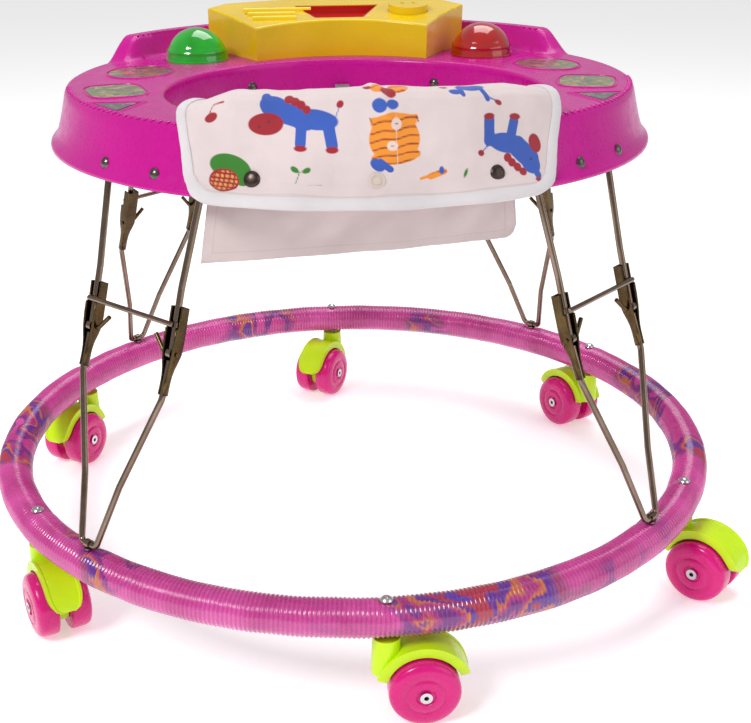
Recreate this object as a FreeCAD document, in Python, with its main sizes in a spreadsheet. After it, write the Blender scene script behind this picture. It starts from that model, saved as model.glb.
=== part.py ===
import FreeCAD, Part
import math
import os
import re
import Sketcher

V = FreeCAD.Vector
X, Y, Z = V(1, 0, 0), V(0, 1, 0), V(0, 0, 1)

# Driving dimensions in millimetres, angles in degrees. The origin is on the floor under the middle
# of the floor ring, +Z is up, +Y is the toy side and -Y is the side that the child's back rests on.
SIZES = dict(
    # floor ring: a bent steel tube in a ribbed plastic sleeve
    ring_radius=290, ring_height="=wheel_radius + hood_radius + sleeve_radius + 5", tube_radius=12.6,
    tube_wall=1.2, sleeve_gap=0.15, sleeve_radius="=tube_radius + 1.2",
    # casters: a bolt down through the ring, a swivelling hood, two wheels on one hollow axle
    wheel_radius=25, wheel_inner="=0.5 * web_width + 0.8", wheel_outer=21.6, wheel_crown=5,
    caster_offset="=wheel_radius", hood_radius="=wheel_radius + 8.5", hood_width=26, web_width=8,
    wheel_gap=1, hood_front="=wheel_radius + 8", hood_back="=wheel_radius + 11", boss_radius=10,
    boss_gap=1, swivel_radius=2.5, swivel_end="=wheel_radius + 15", head_radius=4.6, head_height=2.8,
    axle_radius=3, axle_bore="=axle_radius - 1.3", flange_radius="=axle_radius + 1.3",
    flange_height=0.9, run_gap=0.05,
    # legs: a wishbone below, two channels at the knee, a U of wire above
    wire_radius=2.4, base_height="=ring_height + 17.3",
    knee_rho="=hang_rho + 0.4 * (ring_radius - hang_rho)", knee_height=235,
    hang_rho="=lip_radius - 31", hang_height="=tray_top - 32", knee_half=42.5, hang_half=48,
    wish_half=19, wish_height=48, foot_half=8, foot_bend=4, wire_bend=12, top_bend=6, straight_top=44,
    tail_start="=sqrt((ring_radius - knee_rho)^2 + (knee_height - base_height)^2) - 32.4",
    crimp_start="=tail_start + 3", eye_radius=3.4, eye_width=4.6, shank_radius=2.2,
    collar_radius="=eye_radius + 0.4", collar_height=0.9, channel_width=10.6, channel_depth=9.6,
    channel_back=5.3, channel_wall=1.2, channel_up=32, channel_down=4,
    tail_radius="=1.5 * wire_radius", crimp_gap=0.02, pin_radius=1.6, knuckle_radius=3.8,
    finger_length=14, lock_rise=20, lock_radius=1.8, lock_gap=0.4, collar_wall=0.9,
    # tray: a round moulding with an eccentric seat opening
    tray_top=384, tray_wall=2.5, skirt_bottom="=tray_top - 42", lip_radius=231, lip_height=3,
    lip_slope=3, skirt_low="=lip_radius - 4.5", skirt_high="=lip_radius - 12.5", edge_round=6,
    opening_radius=139, opening_shift="=lip_radius - opening_radius - 38", inner_drop=36,
    rim_height=19, rim_foot="=lip_radius - 36", rim_in="=lip_radius - 28", rim_out="=lip_radius - 18",
    rim_from=24, rim_slope=9, hump_height=15.5, hump_in="=lip_radius - 32",
    hump_out="=lip_radius - 17", hump_half=29, hump_slope=6, screw_half=25,
    screw_height="=hang_height", screw_radius=1.9, screw_head=4.2, screw_dome=2.2, screw_length=8,
    screw_reach=16, head_gap=0.1, seat_screw_turn=33, saddle_width=12, saddle_wall=1.5, saddle_gap=0.5,
    saddle_setback=8, saddle_height=15, saddle_lip=3.2,
    # toys on the tray
    dome_radius=26, dome_x=121, dome_y=97, dome_wall=2, dome_bead=1, foot_gap=0.05, lamp_radius=2.5,
    lamp_height=9, lamp_disc=1.6, panel_front=76, panel_height=27, panel_half=71, wing_half=112,
    wing_back=87, wing_end=16, wing_cut=14, wing_waist=19, rear_bow=14, panel_slope=7.3, panel_bow=24,
    panel_round=1.8, panel_wall=2.5, toys_row=56, scoop_depth=8, scoop_wall=1.5, scoop_near=21,
    scoop_far=37, scoop_front=31, scoop_rear=74, slot_x=80, slot_y=46, slot_length=7, slot_width=4,
    rib_radius=3.4, rib_sink=0.6, stem_radius=4, stem_length=10, dot_radius=2, dot_spread=5,
    cell_radius=7.2, cell_length=50, speaker_x=46, speaker_radius=13, board_length=22, board_width=32,
    board_thick=1.6, knob_radius=17, knob_rise=6, knob_gap=0.3, knob_x=61, knob_y=52,
    # labels on the tray: where each stands beside the opening, and how large it is
    label_height=0.4, oval_x=164, oval_y=34, oval_length=58, oval_width=48, oblong_x=175, oblong_y=-51,
    oblong_length=52, oblong_width=40, oblong_corner=12, triangle_x=165, triangle_y=-108,
    triangle_length=33, triangle_width=25,
    # seat cloth
    seat_top="=tray_top - 26", hem_height=12, seat_bottom="=tray_top - 112", seat_flat=70,
    seat_low="=opening_radius - 35", seat_middle="=opening_radius - 15",
    seat_high="=opening_radius - 5", flat_rise=3, low_rise=13, middle_rise=31, high_rise=53,
    cloth=2.5, seat_gap=0.8, leg_hole=40, leg_hole_x=62,
    leg_hole_z="=seat_bottom + 40", clip_width=12, clip_wall=2, flap_half=31,
    flap_bottom="=tray_top - 46", flap_cloth=2, flap_gap=0.5, snap_radius=5,
    snap_height="=tray_top - 29")

CASTER_COUNT = 6
TRAIL = (0, -45, 118, -122, -120, -65)      # the way each caster trails, degrees from +X
LEG_ANGLES = (-135, -45, 45, 135)

doc = FreeCAD.newDocument("walker")
sheet = doc.addObject("Spreadsheet::Sheet", "sizes")
for row, alias in enumerate(SIZES, start=1):
    sheet.set("A%d" % row, alias)
    sheet.setAlias("B%d" % row, alias)
for row, value in enumerate(SIZES.values(), start=1):
    sheet.set("B%d" % row, str(value))
doc.recompute()
nodes = []


def size(text):
    """Value of an expression over the sheet's aliases."""
    return doc.sizes.evalExpression(linked(text)) if text not in SIZES else float(sheet.get(text))


def linked(text):
    return re.sub(r"[a-z_]+", lambda m: "sizes." + m.group(0) if m.group(0) in SIZES else m.group(0),
                  str(text))


def bind(obj, **links):
    for prop, text in links.items():
        obj.setExpression(prop.replace("__", "."), linked(text))
    return obj


def add(kind, place=None, **links):
    obj = bind(doc.addObject(kind, kind.split("::")[1].lower()), **links)
    if place is not None:
        obj.Placement = place
    return obj


def at(x=0, y=0, z=0, axis=Z, turn=0):
    return FreeCAD.Placement(V(x, y, z), FreeCAD.Rotation(axis, turn))


def cylinder(radius, height, place=None, **more):
    return add("Part::Cylinder", place, Radius=radius, Height=height, **more)


def box(length, width, height, place=None, **more):
    return add("Part::Box", place, Length=length, Width=width, Height=height, **more)


def cut(base, *tools):
    pair = doc.addObject("Part::Cut", "cut")
    pair.Base, pair.Tool = base, tools[0] if len(tools) == 1 else fuse(*tools)
    return pair


def fuse(*shapes):
    whole = doc.addObject("Part::MultiFuse", "fuse")
    whole.Shapes = list(shapes)
    return whole


def solid_feature(shape, place=None):
    obj = doc.addObject("Part::Feature", "shape")
    obj.Shape = shape
    if place is not None:
        obj.Placement = place
    return obj


def group(*shapes):
    """Separate solids that share one node."""
    whole = doc.addObject("Part::Compound", "group")
    whole.Links = list(shapes)
    return whole


def node(label, obj, place=None):
    obj.Label = label
    if place is not None:
        obj.Placement = place.multiply(obj.Placement)
    nodes.append(obj)
    return obj


def turned(outline, angle=360, start=0):
    """A body turned about Z from an outline of (radius, height) expressions."""
    body = doc.addObject("PartDesign::Body", "body")
    plane = [f for f in body.Origin.OriginFeatures if f.Role == "XZ_Plane"][0]
    sketch = body.newObject("Sketcher::SketchObject", "outline")
    sketch.AttachmentSupport = (plane, [""])
    sketch.MapMode = "FlatFace"
    spots = [V(size(r) if r != "0" else 0, size(h), 0) for r, h in outline]
    for i, spot in enumerate(spots):
        sketch.addGeometry(Part.LineSegment(spot, spots[(i + 1) % len(spots)]))
    for i in range(len(spots)):
        sketch.addConstraint(Sketcher.Constraint("Coincident", i, 2, (i + 1) % len(spots), 1))
    for i, (r, h) in enumerate(outline):
        if r == "0":
            sketch.addConstraint(Sketcher.Constraint("PointOnObject", i, 1, -2))
        else:
            k = sketch.addConstraint(Sketcher.Constraint("DistanceX", -1, 1, i, 1, spots[i].x))
            sketch.setExpression("Constraints[%d]" % k, linked(r))
        k = sketch.addConstraint(Sketcher.Constraint("DistanceY", -1, 1, i, 1, spots[i].y))
        sketch.setExpression("Constraints[%d]" % k, linked(h))
    turn = body.newObject("PartDesign::Revolution", "turn")
    turn.Profile = sketch
    turn.ReferenceAxis = (sketch, ["V_Axis"])
    turn.Angle = angle
    body.Tip = turn
    body.Placement = at(turn=start)
    return body


def bent_rod(points, bends, radius):
    """A round rod along straight runs joined by tangent arcs."""
    edges, last = [], points[0]
    for before, corner, after, bend in zip(points, points[1:], points[2:], bends):
        a, b = (before - corner).normalize(), (after - corner).normalize()
        half = a.getAngle(b) / 2
        reach = bend / math.tan(half)
        start, end = corner + a * reach, corner + b * reach
        middle = corner + (a + b).normalize() * (bend / math.sin(half) - bend)
        edges += [Part.LineSegment(last, start).toShape(), Part.Arc(start, middle, end).toShape()]
        last = end
    edges.append(Part.LineSegment(last, points[-1]).toShape())
    path = Part.Wire(edges)
    ring = Part.Wire(Part.Circle(points[0], points[1] - points[0], radius).toShape())
    return path.makePipeShell([ring], True, False)


# ---- floor ring -------------------------------------------------------------------------------
def stations(count, radius, first=0):
    step = 360 / count
    return [at(turn=first + step * i).multiply(at(size(radius))) for i in range(count)]


def torus(major, minor):
    return add("Part::Torus", None, Radius1=major, Radius2=minor)


caster_places = stations(CASTER_COUNT, "ring_radius", -90)
leg_places = [at(turn=a) for a in LEG_ANGLES]


def ring_bores():
    """Bores through the ring for the caster bolts, and down into it for the leg eye bolts."""
    deep = size("2 * sleeve_radius + 10")
    bolts = [(place, size("swivel_radius + run_gap"), -deep / 2) for place in caster_places]
    eyes = [(place.multiply(at(size("ring_radius"))), size("shank_radius + run_gap"), 0)
            for place in leg_places]
    return Part.makeCompound([Part.makeCylinder(radius, deep, place.Base + V(0, 0, low))
                              for place, radius, low in bolts + eyes])


def ring_shell(outer, inner):
    """A hollow torus bored through: plain shapes, as torus objects leave some of the walls uncut."""
    radius = size("ring_radius")
    shell = Part.makeTorus(radius, size(outer)).cut(Part.makeTorus(radius, size(inner)))
    return solid_feature(shell.cut(ring_bores()), at(z=size("ring_height")))


def ring():
    node("ring_tube", ring_shell("tube_radius", "tube_radius - tube_wall"))
    node("ring_sleeve", ring_shell("sleeve_radius", "tube_radius + sleeve_gap"))


def domed_head(radius, height):
    """A rivet or screw head: the cap of a sphere, standing on z = 0."""
    height = str(height)
    cap = add("Part::Sphere", None, Radius="(%s * %s + %s * %s) / (2 * %s)" % (
        radius, radius, height, height, height))
    bind(cap, Placement__Base__z="%s - (%s * %s + %s * %s) / (2 * %s)" % (
        height, radius, radius, height, height, height))
    blank = cylinder(radius + " + 0.5", height + " + 1")
    common = doc.addObject("Part::Common", "common")
    common.Base, common.Tool = cap, blank
    return common


def placed(obj, place):
    obj.Placement = place.multiply(obj.Placement)
    return obj


def caster_bolts():
    top = "ring_height + sleeve_radius"
    bolts = []
    for place in caster_places:
        shank = cylinder("swivel_radius", top + " - swivel_end + 0.5", at(z=size("swivel_end")))
        head = placed(domed_head("head_radius", "head_height"), at(z=size(top)))
        bolts.append(placed(fuse(shank, head), place))
    node("caster_bolts", group(*bolts))


def eye_bolts():
    """The wishbone's foot turns in an eye whose shank is riveted through the ring's top."""
    bolts = []
    ring_top = -size("base_height - ring_height - sleeve_radius")
    for place in leg_places:
        eye = cylinder("eye_radius", "eye_width", at(0, size("eye_width / 2"), 0, X, 90))
        shank = cylinder("shank_radius", "tube_radius", at(z=ring_top - size("tube_radius - 1")))
        collar = cylinder("collar_radius", "collar_height", at(z=ring_top + size("foot_gap")))
        bore = cylinder("wire_radius + run_gap", 20, at(0, 10, 0, X, 90))
        spot = place.multiply(at(size("ring_radius"), 0, size("base_height")))
        bolts.append(placed(cut(fuse(eye, shank, collar), bore), spot))
    node("leg_eye_bolts", group(*bolts))


# ---- casters: built with the stem on the Z axis, trailing along +X ---------------------------------
def wheel():
    """One wheel about Z, from its inner face to its crowned outer face."""
    return turned([("axle_radius + 0.02", "wheel_inner"), ("wheel_radius - 2", "wheel_inner"),
                   ("wheel_radius", "wheel_inner + 2"), ("wheel_radius", "wheel_outer - wheel_crown"),
                   ("wheel_radius - 1.6", "wheel_outer - 0.5 * wheel_crown"),
                   ("wheel_radius - 6", "wheel_outer - 0.15 * wheel_crown"),
                   ("wheel_radius - 11", "wheel_outer"), ("axle_radius + 0.02", "wheel_outer")])


def axle():
    """A hollow rivet about Z with a flange outside each wheel."""
    tube = cylinder("axle_radius", "2 * wheel_outer", at(z=-size("wheel_outer")))
    flanges = [cylinder("flange_radius", "flange_height", at(z=z)) for z in
               (size("wheel_outer + 0.05"), -size("wheel_outer + flange_height + 0.05"))]
    ends = cylinder("axle_radius - 0.5", "2 * wheel_outer + 1", at(z=-size("wheel_outer + 0.5")))
    bore = cylinder("axle_bore", "2 * wheel_outer + 10", at(z=-size("wheel_outer + 5")))
    return cut(fuse(tube, ends, *flanges), bore)


def hood():
    """The cover over both wheels with the swivel boss on its rear end."""
    radius, width, boss = size("hood_radius"), size("hood_width"), size("boss_radius")
    axle_x, axle_z, top = size("caster_offset"), size("wheel_radius"), size(
        "ring_height - sleeve_radius - boss_gap")
    across = at(axle_x, 0, axle_z, X, 90)
    cover = cylinder("hood_radius", "hood_width", at(axle_x, width / 2, axle_z, X, 90))
    post = cylinder("boss_radius", top - size("hood_back"), at(z=size("hood_back")))
    tilt = math.degrees(math.atan2(size("hood_front - hood_back"), radius + boss + axle_x))
    below = box(200, 100, 100, at(-boss, -50, size("hood_back")).multiply(at(axis=Y, turn=-tilt))
                .multiply(at(-60, 0, -100)))
    web = cylinder("wheel_radius - 7", "web_width", across.multiply(at(z=-size("web_width / 2"))))
    hollows = []
    for side in (-1, 1):
        start = size("web_width / 2") if side > 0 else -size("web_width / 2") - 40
        hollows.append(cylinder("wheel_radius + wheel_gap", 40, across.multiply(at(z=start))))
    shell = cut(fuse(cut(cover, below), post, web), *hollows)
    sleeve_bore = cylinder("swivel_radius + run_gap", 100, at(z=size("swivel_end") - 0.6))
    axle_bore = cylinder("axle_radius + run_gap", 60, across.multiply(at(z=-30)))
    return cut(shell, sleeve_bore, axle_bore)


def casters():
    across = at(size("caster_offset"), 0, size("wheel_radius"), X, 90)
    for i, (place, trail) in enumerate(zip(caster_places, TRAIL), start=1):
        spot = at(place.Base.x, place.Base.y).multiply(at(turn=trail))
        node("caster_hood_%d" % i, hood(), spot)
        pair = [placed(wheel(), across), placed(placed(wheel(), at(axis=X, turn=180)), across)]
        pair[1].Placement = across.multiply(at(axis=X, turn=180))
        node("caster_wheels_%d" % i, group(*pair), spot)
        node("caster_axle_%d" % i, placed(axle(), across), spot)


# ---- legs: built in the plane of the X and Z axes, with X out from the middle of the walker ------------
def leg_frame(rho, height, to_rho, to_height):
    """Z along a strut, X to its outer side, Y across, from one pivot to the next."""
    lean = math.degrees(math.atan2(to_rho - rho, to_height - height))
    return at(rho, 0, height, Y, lean), math.hypot(to_rho - rho, to_height - height)


base_pivot = (size("ring_radius"), size("base_height"))
knee_pivot = (size("knee_rho"), size("knee_height"))
hang_pivot = (size("hang_rho"), size("hang_height"))
lower_frame, lower_length = leg_frame(*base_pivot, *knee_pivot)
upper_frame, upper_length = leg_frame(*knee_pivot, *hang_pivot)


def mirrored(points):
    """A path across the leg: the given points on the -Y side, then their mirror images."""
    return points + [V(p.x, -p.y, p.z) for p in reversed(points)]


def wishbone():
    half, foot, waist = size("knee_half"), size("foot_half"), size("wish_half")
    top = lower_length - size("knuckle_radius + 1.2")
    side = [V(0, -half, top), V(0, -half, size("tail_start")), V(0, -waist, size("wish_height")),
            V(0, -foot, 0)]
    bend, toe = size("wire_bend"), size("foot_bend")
    bends = [bend, bend, toe, toe, bend, bend]
    return solid_feature(bent_rod(mirrored(side), bends, size("wire_radius")))


def channel(side):
    """A folded sheet channel that opens outward, with a tail crimped round the wishbone's end."""
    w, back, wall = size("channel_width"), size("channel_back"), size("channel_wall")
    down, up = size("channel_down"), size("channel_up")
    y = side * size("knee_half")
    outer = box("channel_depth", "channel_width", "channel_up + channel_down",
                at(-back, y - w / 2, -down))
    inner = box("channel_depth", "channel_width - 2 * channel_wall", 200,
                at(-back + wall, y - w / 2 + wall, -100))
    notch_z = size("lock_rise - lock_radius - lock_gap")
    notch = box("channel_depth", 60, up - notch_z + 1,
                at(size("wire_radius - 0.6"), y - 30, notch_z))
    pin_hole = cylinder("pin_radius + 0.02", 60, at(0, y + 30, 0, X, 90))
    body = cut(outer, inner, notch, pin_hole)
    placed(body, upper_frame)
    tail = cylinder("tail_radius", lower_length - size("crimp_start + channel_down"),
                    lower_frame.multiply(at(0, y, size("crimp_start"))))
    strap = box("channel_back", "2 * tail_radius - 1", 10,
                upper_frame.multiply(at(-back, y - size("tail_radius - 0.5"), -down - 9)))
    wire_bore = cylinder("wire_radius + crimp_gap", 60,
                         lower_frame.multiply(at(0, y, size("tail_start") - 20)))
    clear = cylinder("knuckle_radius + 0.2", 20, upper_frame.multiply(at(0, y + 10, 0, X, 90)))
    return cut(fuse(body, cut(fuse(strap, tail), clear)), wire_bore)


def knee_pin(side):
    """The knee's pin, whose inner end is bent up into a finger beside the lock bar."""
    y, reach = size("knee_half"), size("channel_width / 2 + 1")
    finger = size("finger_length") * math.sqrt(0.5)
    points = [V(0, side * (y + reach), 0), V(0, side * (y - reach - 1.5), 0),
              V(0, side * (y - reach - 1.5 - finger), finger)]
    return solid_feature(bent_rod(points, [3], size("pin_radius")), upper_frame)


def upper_wire():
    """A U of wire: two eyes on the knee pins below, one straight bar hung under the tray."""
    half, wide, straight = size("knee_half"), size("hang_half"), size("straight_top")
    side = [V(0, -half, 0), V(0, -half, straight), V(0, -wide, upper_length)]
    bends = [40, size("top_bend"), size("top_bend"), 40]
    wire = solid_feature(bent_rod(mirrored(side), bends, size("wire_radius")))
    parts = [wire]
    for s in (-1, 1):
        parts.append(cylinder("knuckle_radius", "2 * wire_radius - 0.6",
                              at(0, s * half + size("wire_radius - 0.3"), 0, X, 90)))
    bore = cylinder("pin_radius + run_gap", 200, at(0, 100, 0, X, 90))
    return placed(cut(fuse(*parts), bore), upper_frame)


def lock_bar():
    """A bar across the front of the upper wires with a collar sliding on each of them."""
    half, z = size("knee_half"), size("lock_rise")
    front = size("wire_radius + lock_gap + lock_radius")
    bar = cylinder("lock_radius", 2 * half + 2 * size("lock_radius"),
                   at(front, half + size("lock_radius"), z, X, 90))
    parts, bores = [bar], []
    for s in (-1, 1):
        parts.append(cylinder("wire_radius + lock_gap + collar_wall", "2 * lock_radius",
                              at(0, s * half, z - size("lock_radius"))))
        bores.append(cylinder("wire_radius + lock_gap", 30, at(0, s * half, z - 15)))
    return placed(cut(fuse(*parts), *bores), upper_frame)


def legs():
    for i, place in enumerate(leg_places, start=1):
        node("lower_wire_%d" % i, placed(wishbone(), lower_frame), place)
        node("knee_channels_%d" % i, group(channel(-1), channel(1)), place)
        node("knee_pins_%d" % i, group(knee_pin(-1), knee_pin(1)), place)
        node("upper_wire_%d" % i, upper_wire(), place)
        node("lock_bar_%d" % i, lock_bar(), place)


# ---- tray -------------------------------------------------------------------------------------
opening = at(0, -size("opening_shift"), 0)


def sector(outline, middle, half):
    """A piece of a turned body, from middle - half to middle + half degrees."""
    return turned(outline, 2 * half, middle - half)


def tray_cap():
    low = "skirt_bottom + lip_height"
    return turned([
        ("lip_radius", "skirt_bottom"), ("lip_radius", low), ("skirt_low", low + " + lip_slope"),
        ("skirt_high", "tray_top - edge_round"), ("skirt_high - 0.3 * edge_round",
                                                  "tray_top - 0.3 * edge_round"),
        ("skirt_high - edge_round", "tray_top"), ("0", "tray_top"), ("0", "tray_top - tray_wall"),
        ("skirt_high - edge_round - tray_wall", "tray_top - tray_wall"),
        ("skirt_high - tray_wall", "tray_top - edge_round - tray_wall"),
        ("skirt_low - tray_wall", low + " + lip_slope"), ("lip_radius - tray_wall", low),
        ("lip_radius - tray_wall", "skirt_bottom")])


def raised_rim(grow, middle, half):
    """The raised band on the toy side; grow shrinks it for the hollow under it."""
    g, top = " - %g" % grow, "tray_top + rim_height - %g" % grow
    foot = "tray_top - tray_wall - 3" if grow else "tray_top - 1"
    return sector([("rim_foot + %g" % grow, foot), ("rim_foot + %g" % grow, "tray_top"),
                   ("rim_in + %g" % grow, top), ("rim_out" + g, top),
                   ("skirt_high - 0.3 * edge_round" + g, "tray_top + 0.4 * rim_height"),
                   ("skirt_high - 0.3 * edge_round" + g, foot)], middle, half)


def end_slope(angle, height, run, way):
    """Space above a ramp that slopes a raised band's end down to the tray; way is the end's side."""
    far = size("lip_radius")
    foot = at(turn=angle).multiply(at(0, 0, size("tray_top")))
    slope = math.degrees(math.atan2(height, far * math.radians(run)))
    wedge = box(far + 10, far, far, at() if way > 0 else at(0, -far, 0))
    wedge.Placement = foot.multiply(at(axis=X, turn=way * slope)).multiply(wedge.Placement)
    return wedge


def tray_shell():
    inner = cylinder("opening_radius + tray_wall", "inner_drop", opening.multiply(
        at(z=size("tray_top - inner_drop"))))
    hole = cylinder("opening_radius", 200, opening.multiply(at(z=size("tray_top - 100"))))
    rim_half = 90 - size("rim_from")
    rim = raised_rim(0, 90, rim_half)
    hump = sector([("hump_in", "tray_top - 1"), ("hump_in", "tray_top + hump_height - 4"),
                   ("hump_in + 3", "tray_top + hump_height"), ("hump_out - 4", "tray_top + hump_height"),
                   ("hump_out", "tray_top + hump_height - 5"), ("hump_out", "tray_top - 1")],
                  -90, size("hump_half"))
    run, hump_run = size("rim_slope"), size("hump_slope")
    ends = [end_slope(90 - rim_half, size("rim_height"), run, 1),
            end_slope(90 + rim_half, size("rim_height"), run, -1),
            end_slope(-90 - size("hump_half"), size("hump_height"), hump_run, 1),
            end_slope(-90 + size("hump_half"), size("hump_height"), hump_run, -1)]
    void = raised_rim(size("tray_wall"), 90, rim_half - 1.5 * run)
    reach = -size("screw_reach")
    screw_bores = [cylinder("screw_radius + run_gap", "2 * screw_reach", p)
                   for p in screw_places(reach) + seat_screw_places(reach)]
    sockets = [cylinder("dome_radius - dome_wall - 0.9", "lamp_disc + foot_gap",
                        at(s * size("dome_x"), size("dome_y"), size("tray_top - lamp_disc + 0.04")))
               for s in (-1, 1)]
    whole = fuse(tray_cap(), inner, cut(fuse(rim, hump), *ends))
    node("tray_shell", cut(whole, hole, void, *screw_bores, *sockets))


def skirt_lean():
    """How far the skirt leans inward from upright, in degrees."""
    rise = size("tray_top - edge_round - skirt_bottom - lip_height - lip_slope")
    return math.degrees(math.atan2(size("skirt_low - skirt_high"), rise))


def skirt_rho(height):
    """Radius of the skirt's outside at a height."""
    above = size("%s - skirt_bottom - lip_height - lip_slope" % height)
    return size("skirt_low") - above * math.tan(math.radians(skirt_lean()))


def screw_places(back):
    """Skirt screws, two beside each leg, with Z outward along the screw."""
    rho = skirt_rho("screw_height")
    spread = math.degrees(math.asin(size("screw_half") / rho))
    return [at(turn=leg + side * spread).multiply(at(rho, 0, size("screw_height"), Y, 90 - skirt_lean()))
            .multiply(at(z=back)) for leg in LEG_ANGLES for side in (-1, 1)]


def seat_screw_places(back):
    """Two screws on the toy side of the opening's wall, with Z toward the middle of the opening."""
    turn = size("seat_screw_turn")
    spot = at(size("opening_radius"), 0, size("seat_top + 8"), Y, -90)
    return [opening.multiply(at(turn=90 + a)).multiply(spot).multiply(at(z=back)) for a in (-turn, turn)]


def tray_screws():
    screws = []
    for place in screw_places(size("head_gap")) + seat_screw_places(size("head_gap")):
        shank = cylinder("screw_radius", "screw_length + 0.5", at(z=-size("screw_length")))
        screws.append(placed(fuse(shank, domed_head("screw_head", "screw_dome")), place))
    node("tray_screws", group(*screws))


def leg_saddles():
    """An open steel hook at each skirt screw: the upper wire's bar rests in it."""
    saddles = []
    reach = size("skirt_low - tray_wall - saddle_setback")
    under = size("hang_height - wire_radius - saddle_gap - saddle_wall")
    nose = size("hang_rho - wire_radius - saddle_gap - 2 * saddle_wall")
    bores = [cylinder("screw_radius + run_gap", "2 * screw_reach", p)
             for p in screw_places(-size("screw_reach"))]
    for i, bore in enumerate(bores):
        leg, side = LEG_ANGLES[i // 2], (-1, 1)[i % 2]
        y = side * size("screw_half") - size("saddle_width / 2")
        floor = box(reach - nose, "saddle_width", "saddle_wall", at(nose, y, under))
        wall = box("saddle_wall", "saddle_width", "saddle_height", at(reach - size("saddle_wall"), y, under))
        lip = box("saddle_wall", "saddle_width", "saddle_lip", at(nose, y, under))
        saddles.append(cut(placed(fuse(floor, wall, lip), at(turn=leg)), bore))
    node("leg_saddles", group(*saddles))


def domes():
    """A clear dome each side of the toys with a bead round its foot, and a lamp on a disc inside it."""
    lamps = []
    for label, side in (("dome_green", -1), ("dome_red", 1)):
        spot = at(side * size("dome_x"), size("dome_y"), size("tray_top + foot_gap"))
        ball = add("Part::Sphere", Radius="dome_radius")
        bead = placed(torus("dome_radius", "dome_bead"), at(z=size("dome_bead")))
        hollow = add("Part::Sphere", Radius="dome_radius - dome_wall")
        below = cylinder("2 * dome_radius", "2 * dome_radius", at(z=-size("2 * dome_radius")))
        node(label, cut(fuse(ball, bead), hollow, below), spot)
        disc = cylinder("dome_radius - dome_wall - 1", "lamp_disc", at(z=-size("lamp_disc")))
        stem = cylinder("lamp_radius", "lamp_height", at(z=-0.5))
        tip = add("Part::Sphere", at(z=size("lamp_height - 0.5")), Radius="lamp_radius")
        lamps.append(placed(fuse(disc, stem, tip), spot))
    node("dome_lamps", group(*lamps))


# ---- toy panel: its own frame lies in the sloping top face, at the middle of the front edge --------------
panel = at(0, size("panel_front"), size("tray_top + panel_height"), X, size("panel_slope"))


def panel_outline():
    """The panel's edge seen from above: a hollow front, curved wings and a bowed rear."""
    half, wing, back = size("panel_half"), size("wing_half"), size("wing_back")
    corner, tip = V(half, 0, 0), V(wing, back - size("wing_end"), 0)
    heel = V(wing - size("wing_cut"), back, 0)
    waist = V(half + size("wing_waist"), size("wing_back / 2.3"), 0)

    def other(spot):
        return V(-spot.x, spot.y, spot.z)

    curves = [Part.Arc(other(corner), V(0, size("panel_bow"), 0), corner), Part.Arc(corner, waist, tip),
              Part.LineSegment(tip, heel), Part.Arc(heel, V(0, back + size("rear_bow"), 0), other(heel)),
              Part.LineSegment(other(heel), other(tip)), Part.Arc(other(tip), other(waist), other(corner))]
    return Part.Face(Part.Wire([c.toShape() for c in curves]))


def panel_shell():
    """The yellow toy panel: a hollow case with a scoop, a button, a slot and three raised ribs."""
    deep = size("2 * panel_height")
    block = panel_outline().extrude(V(0, 0, -deep))
    top_edges = [e for e in block.Edges if abs(e.BoundBox.ZMin) < 0.01 and abs(e.BoundBox.ZMax) < 0.01]
    blank = solid_feature(block.makeFillet(size("panel_round"), top_edges), panel)
    wide = size("2 * wing_half")
    under = box(2 * wide, wide, deep, at(-wide, 0, size("tray_top + foot_gap") - deep))
    wall = size("panel_wall")
    room = panel_outline().makeOffset2D(-wall).extrude(V(0, 0, -deep))
    room = solid_feature(room, panel.multiply(at(z=-wall)))
    scoop_hole = solid_feature(scoop_prism(size("foot_gap"), size("scoop_depth")), panel)
    knob_hole = cylinder("knob_radius + knob_gap", deep,
                         panel.multiply(at(size("knob_x"), size("knob_y"), -deep / 2)))
    slot = box("slot_length", "slot_width", deep, panel.multiply(at(*slot_corner(), -2 * wall)))
    ribs = []
    for x, y, length in ((-73, 29, 36), (-77, 43, 40), (-81, 57, 58)):
        rib = cylinder("rib_radius", length, at(x, y, -size("rib_sink"), Y, 90))
        ribs.append(placed(rib, panel))
    node("toy_panel", cut(fuse(blank, *ribs), under, room, scoop_hole, knob_hole, slot))


def slot_corner():
    return -size("slot_x"), size("slot_y")


def scoop_prism(grow, depth):
    """The trapezoid recess of the panel, wider at the back."""
    near, far = size("scoop_near") + grow, size("scoop_far") + grow
    front, rear = size("scoop_front") - grow, size("scoop_rear") + grow
    points = [V(-near, front, 1), V(near, front, 1), V(far, rear, 1), V(-far, rear, 1)]
    return Part.Face(Part.makePolygon(points + points[:1])).extrude(V(0, 0, -depth - 1))


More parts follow.
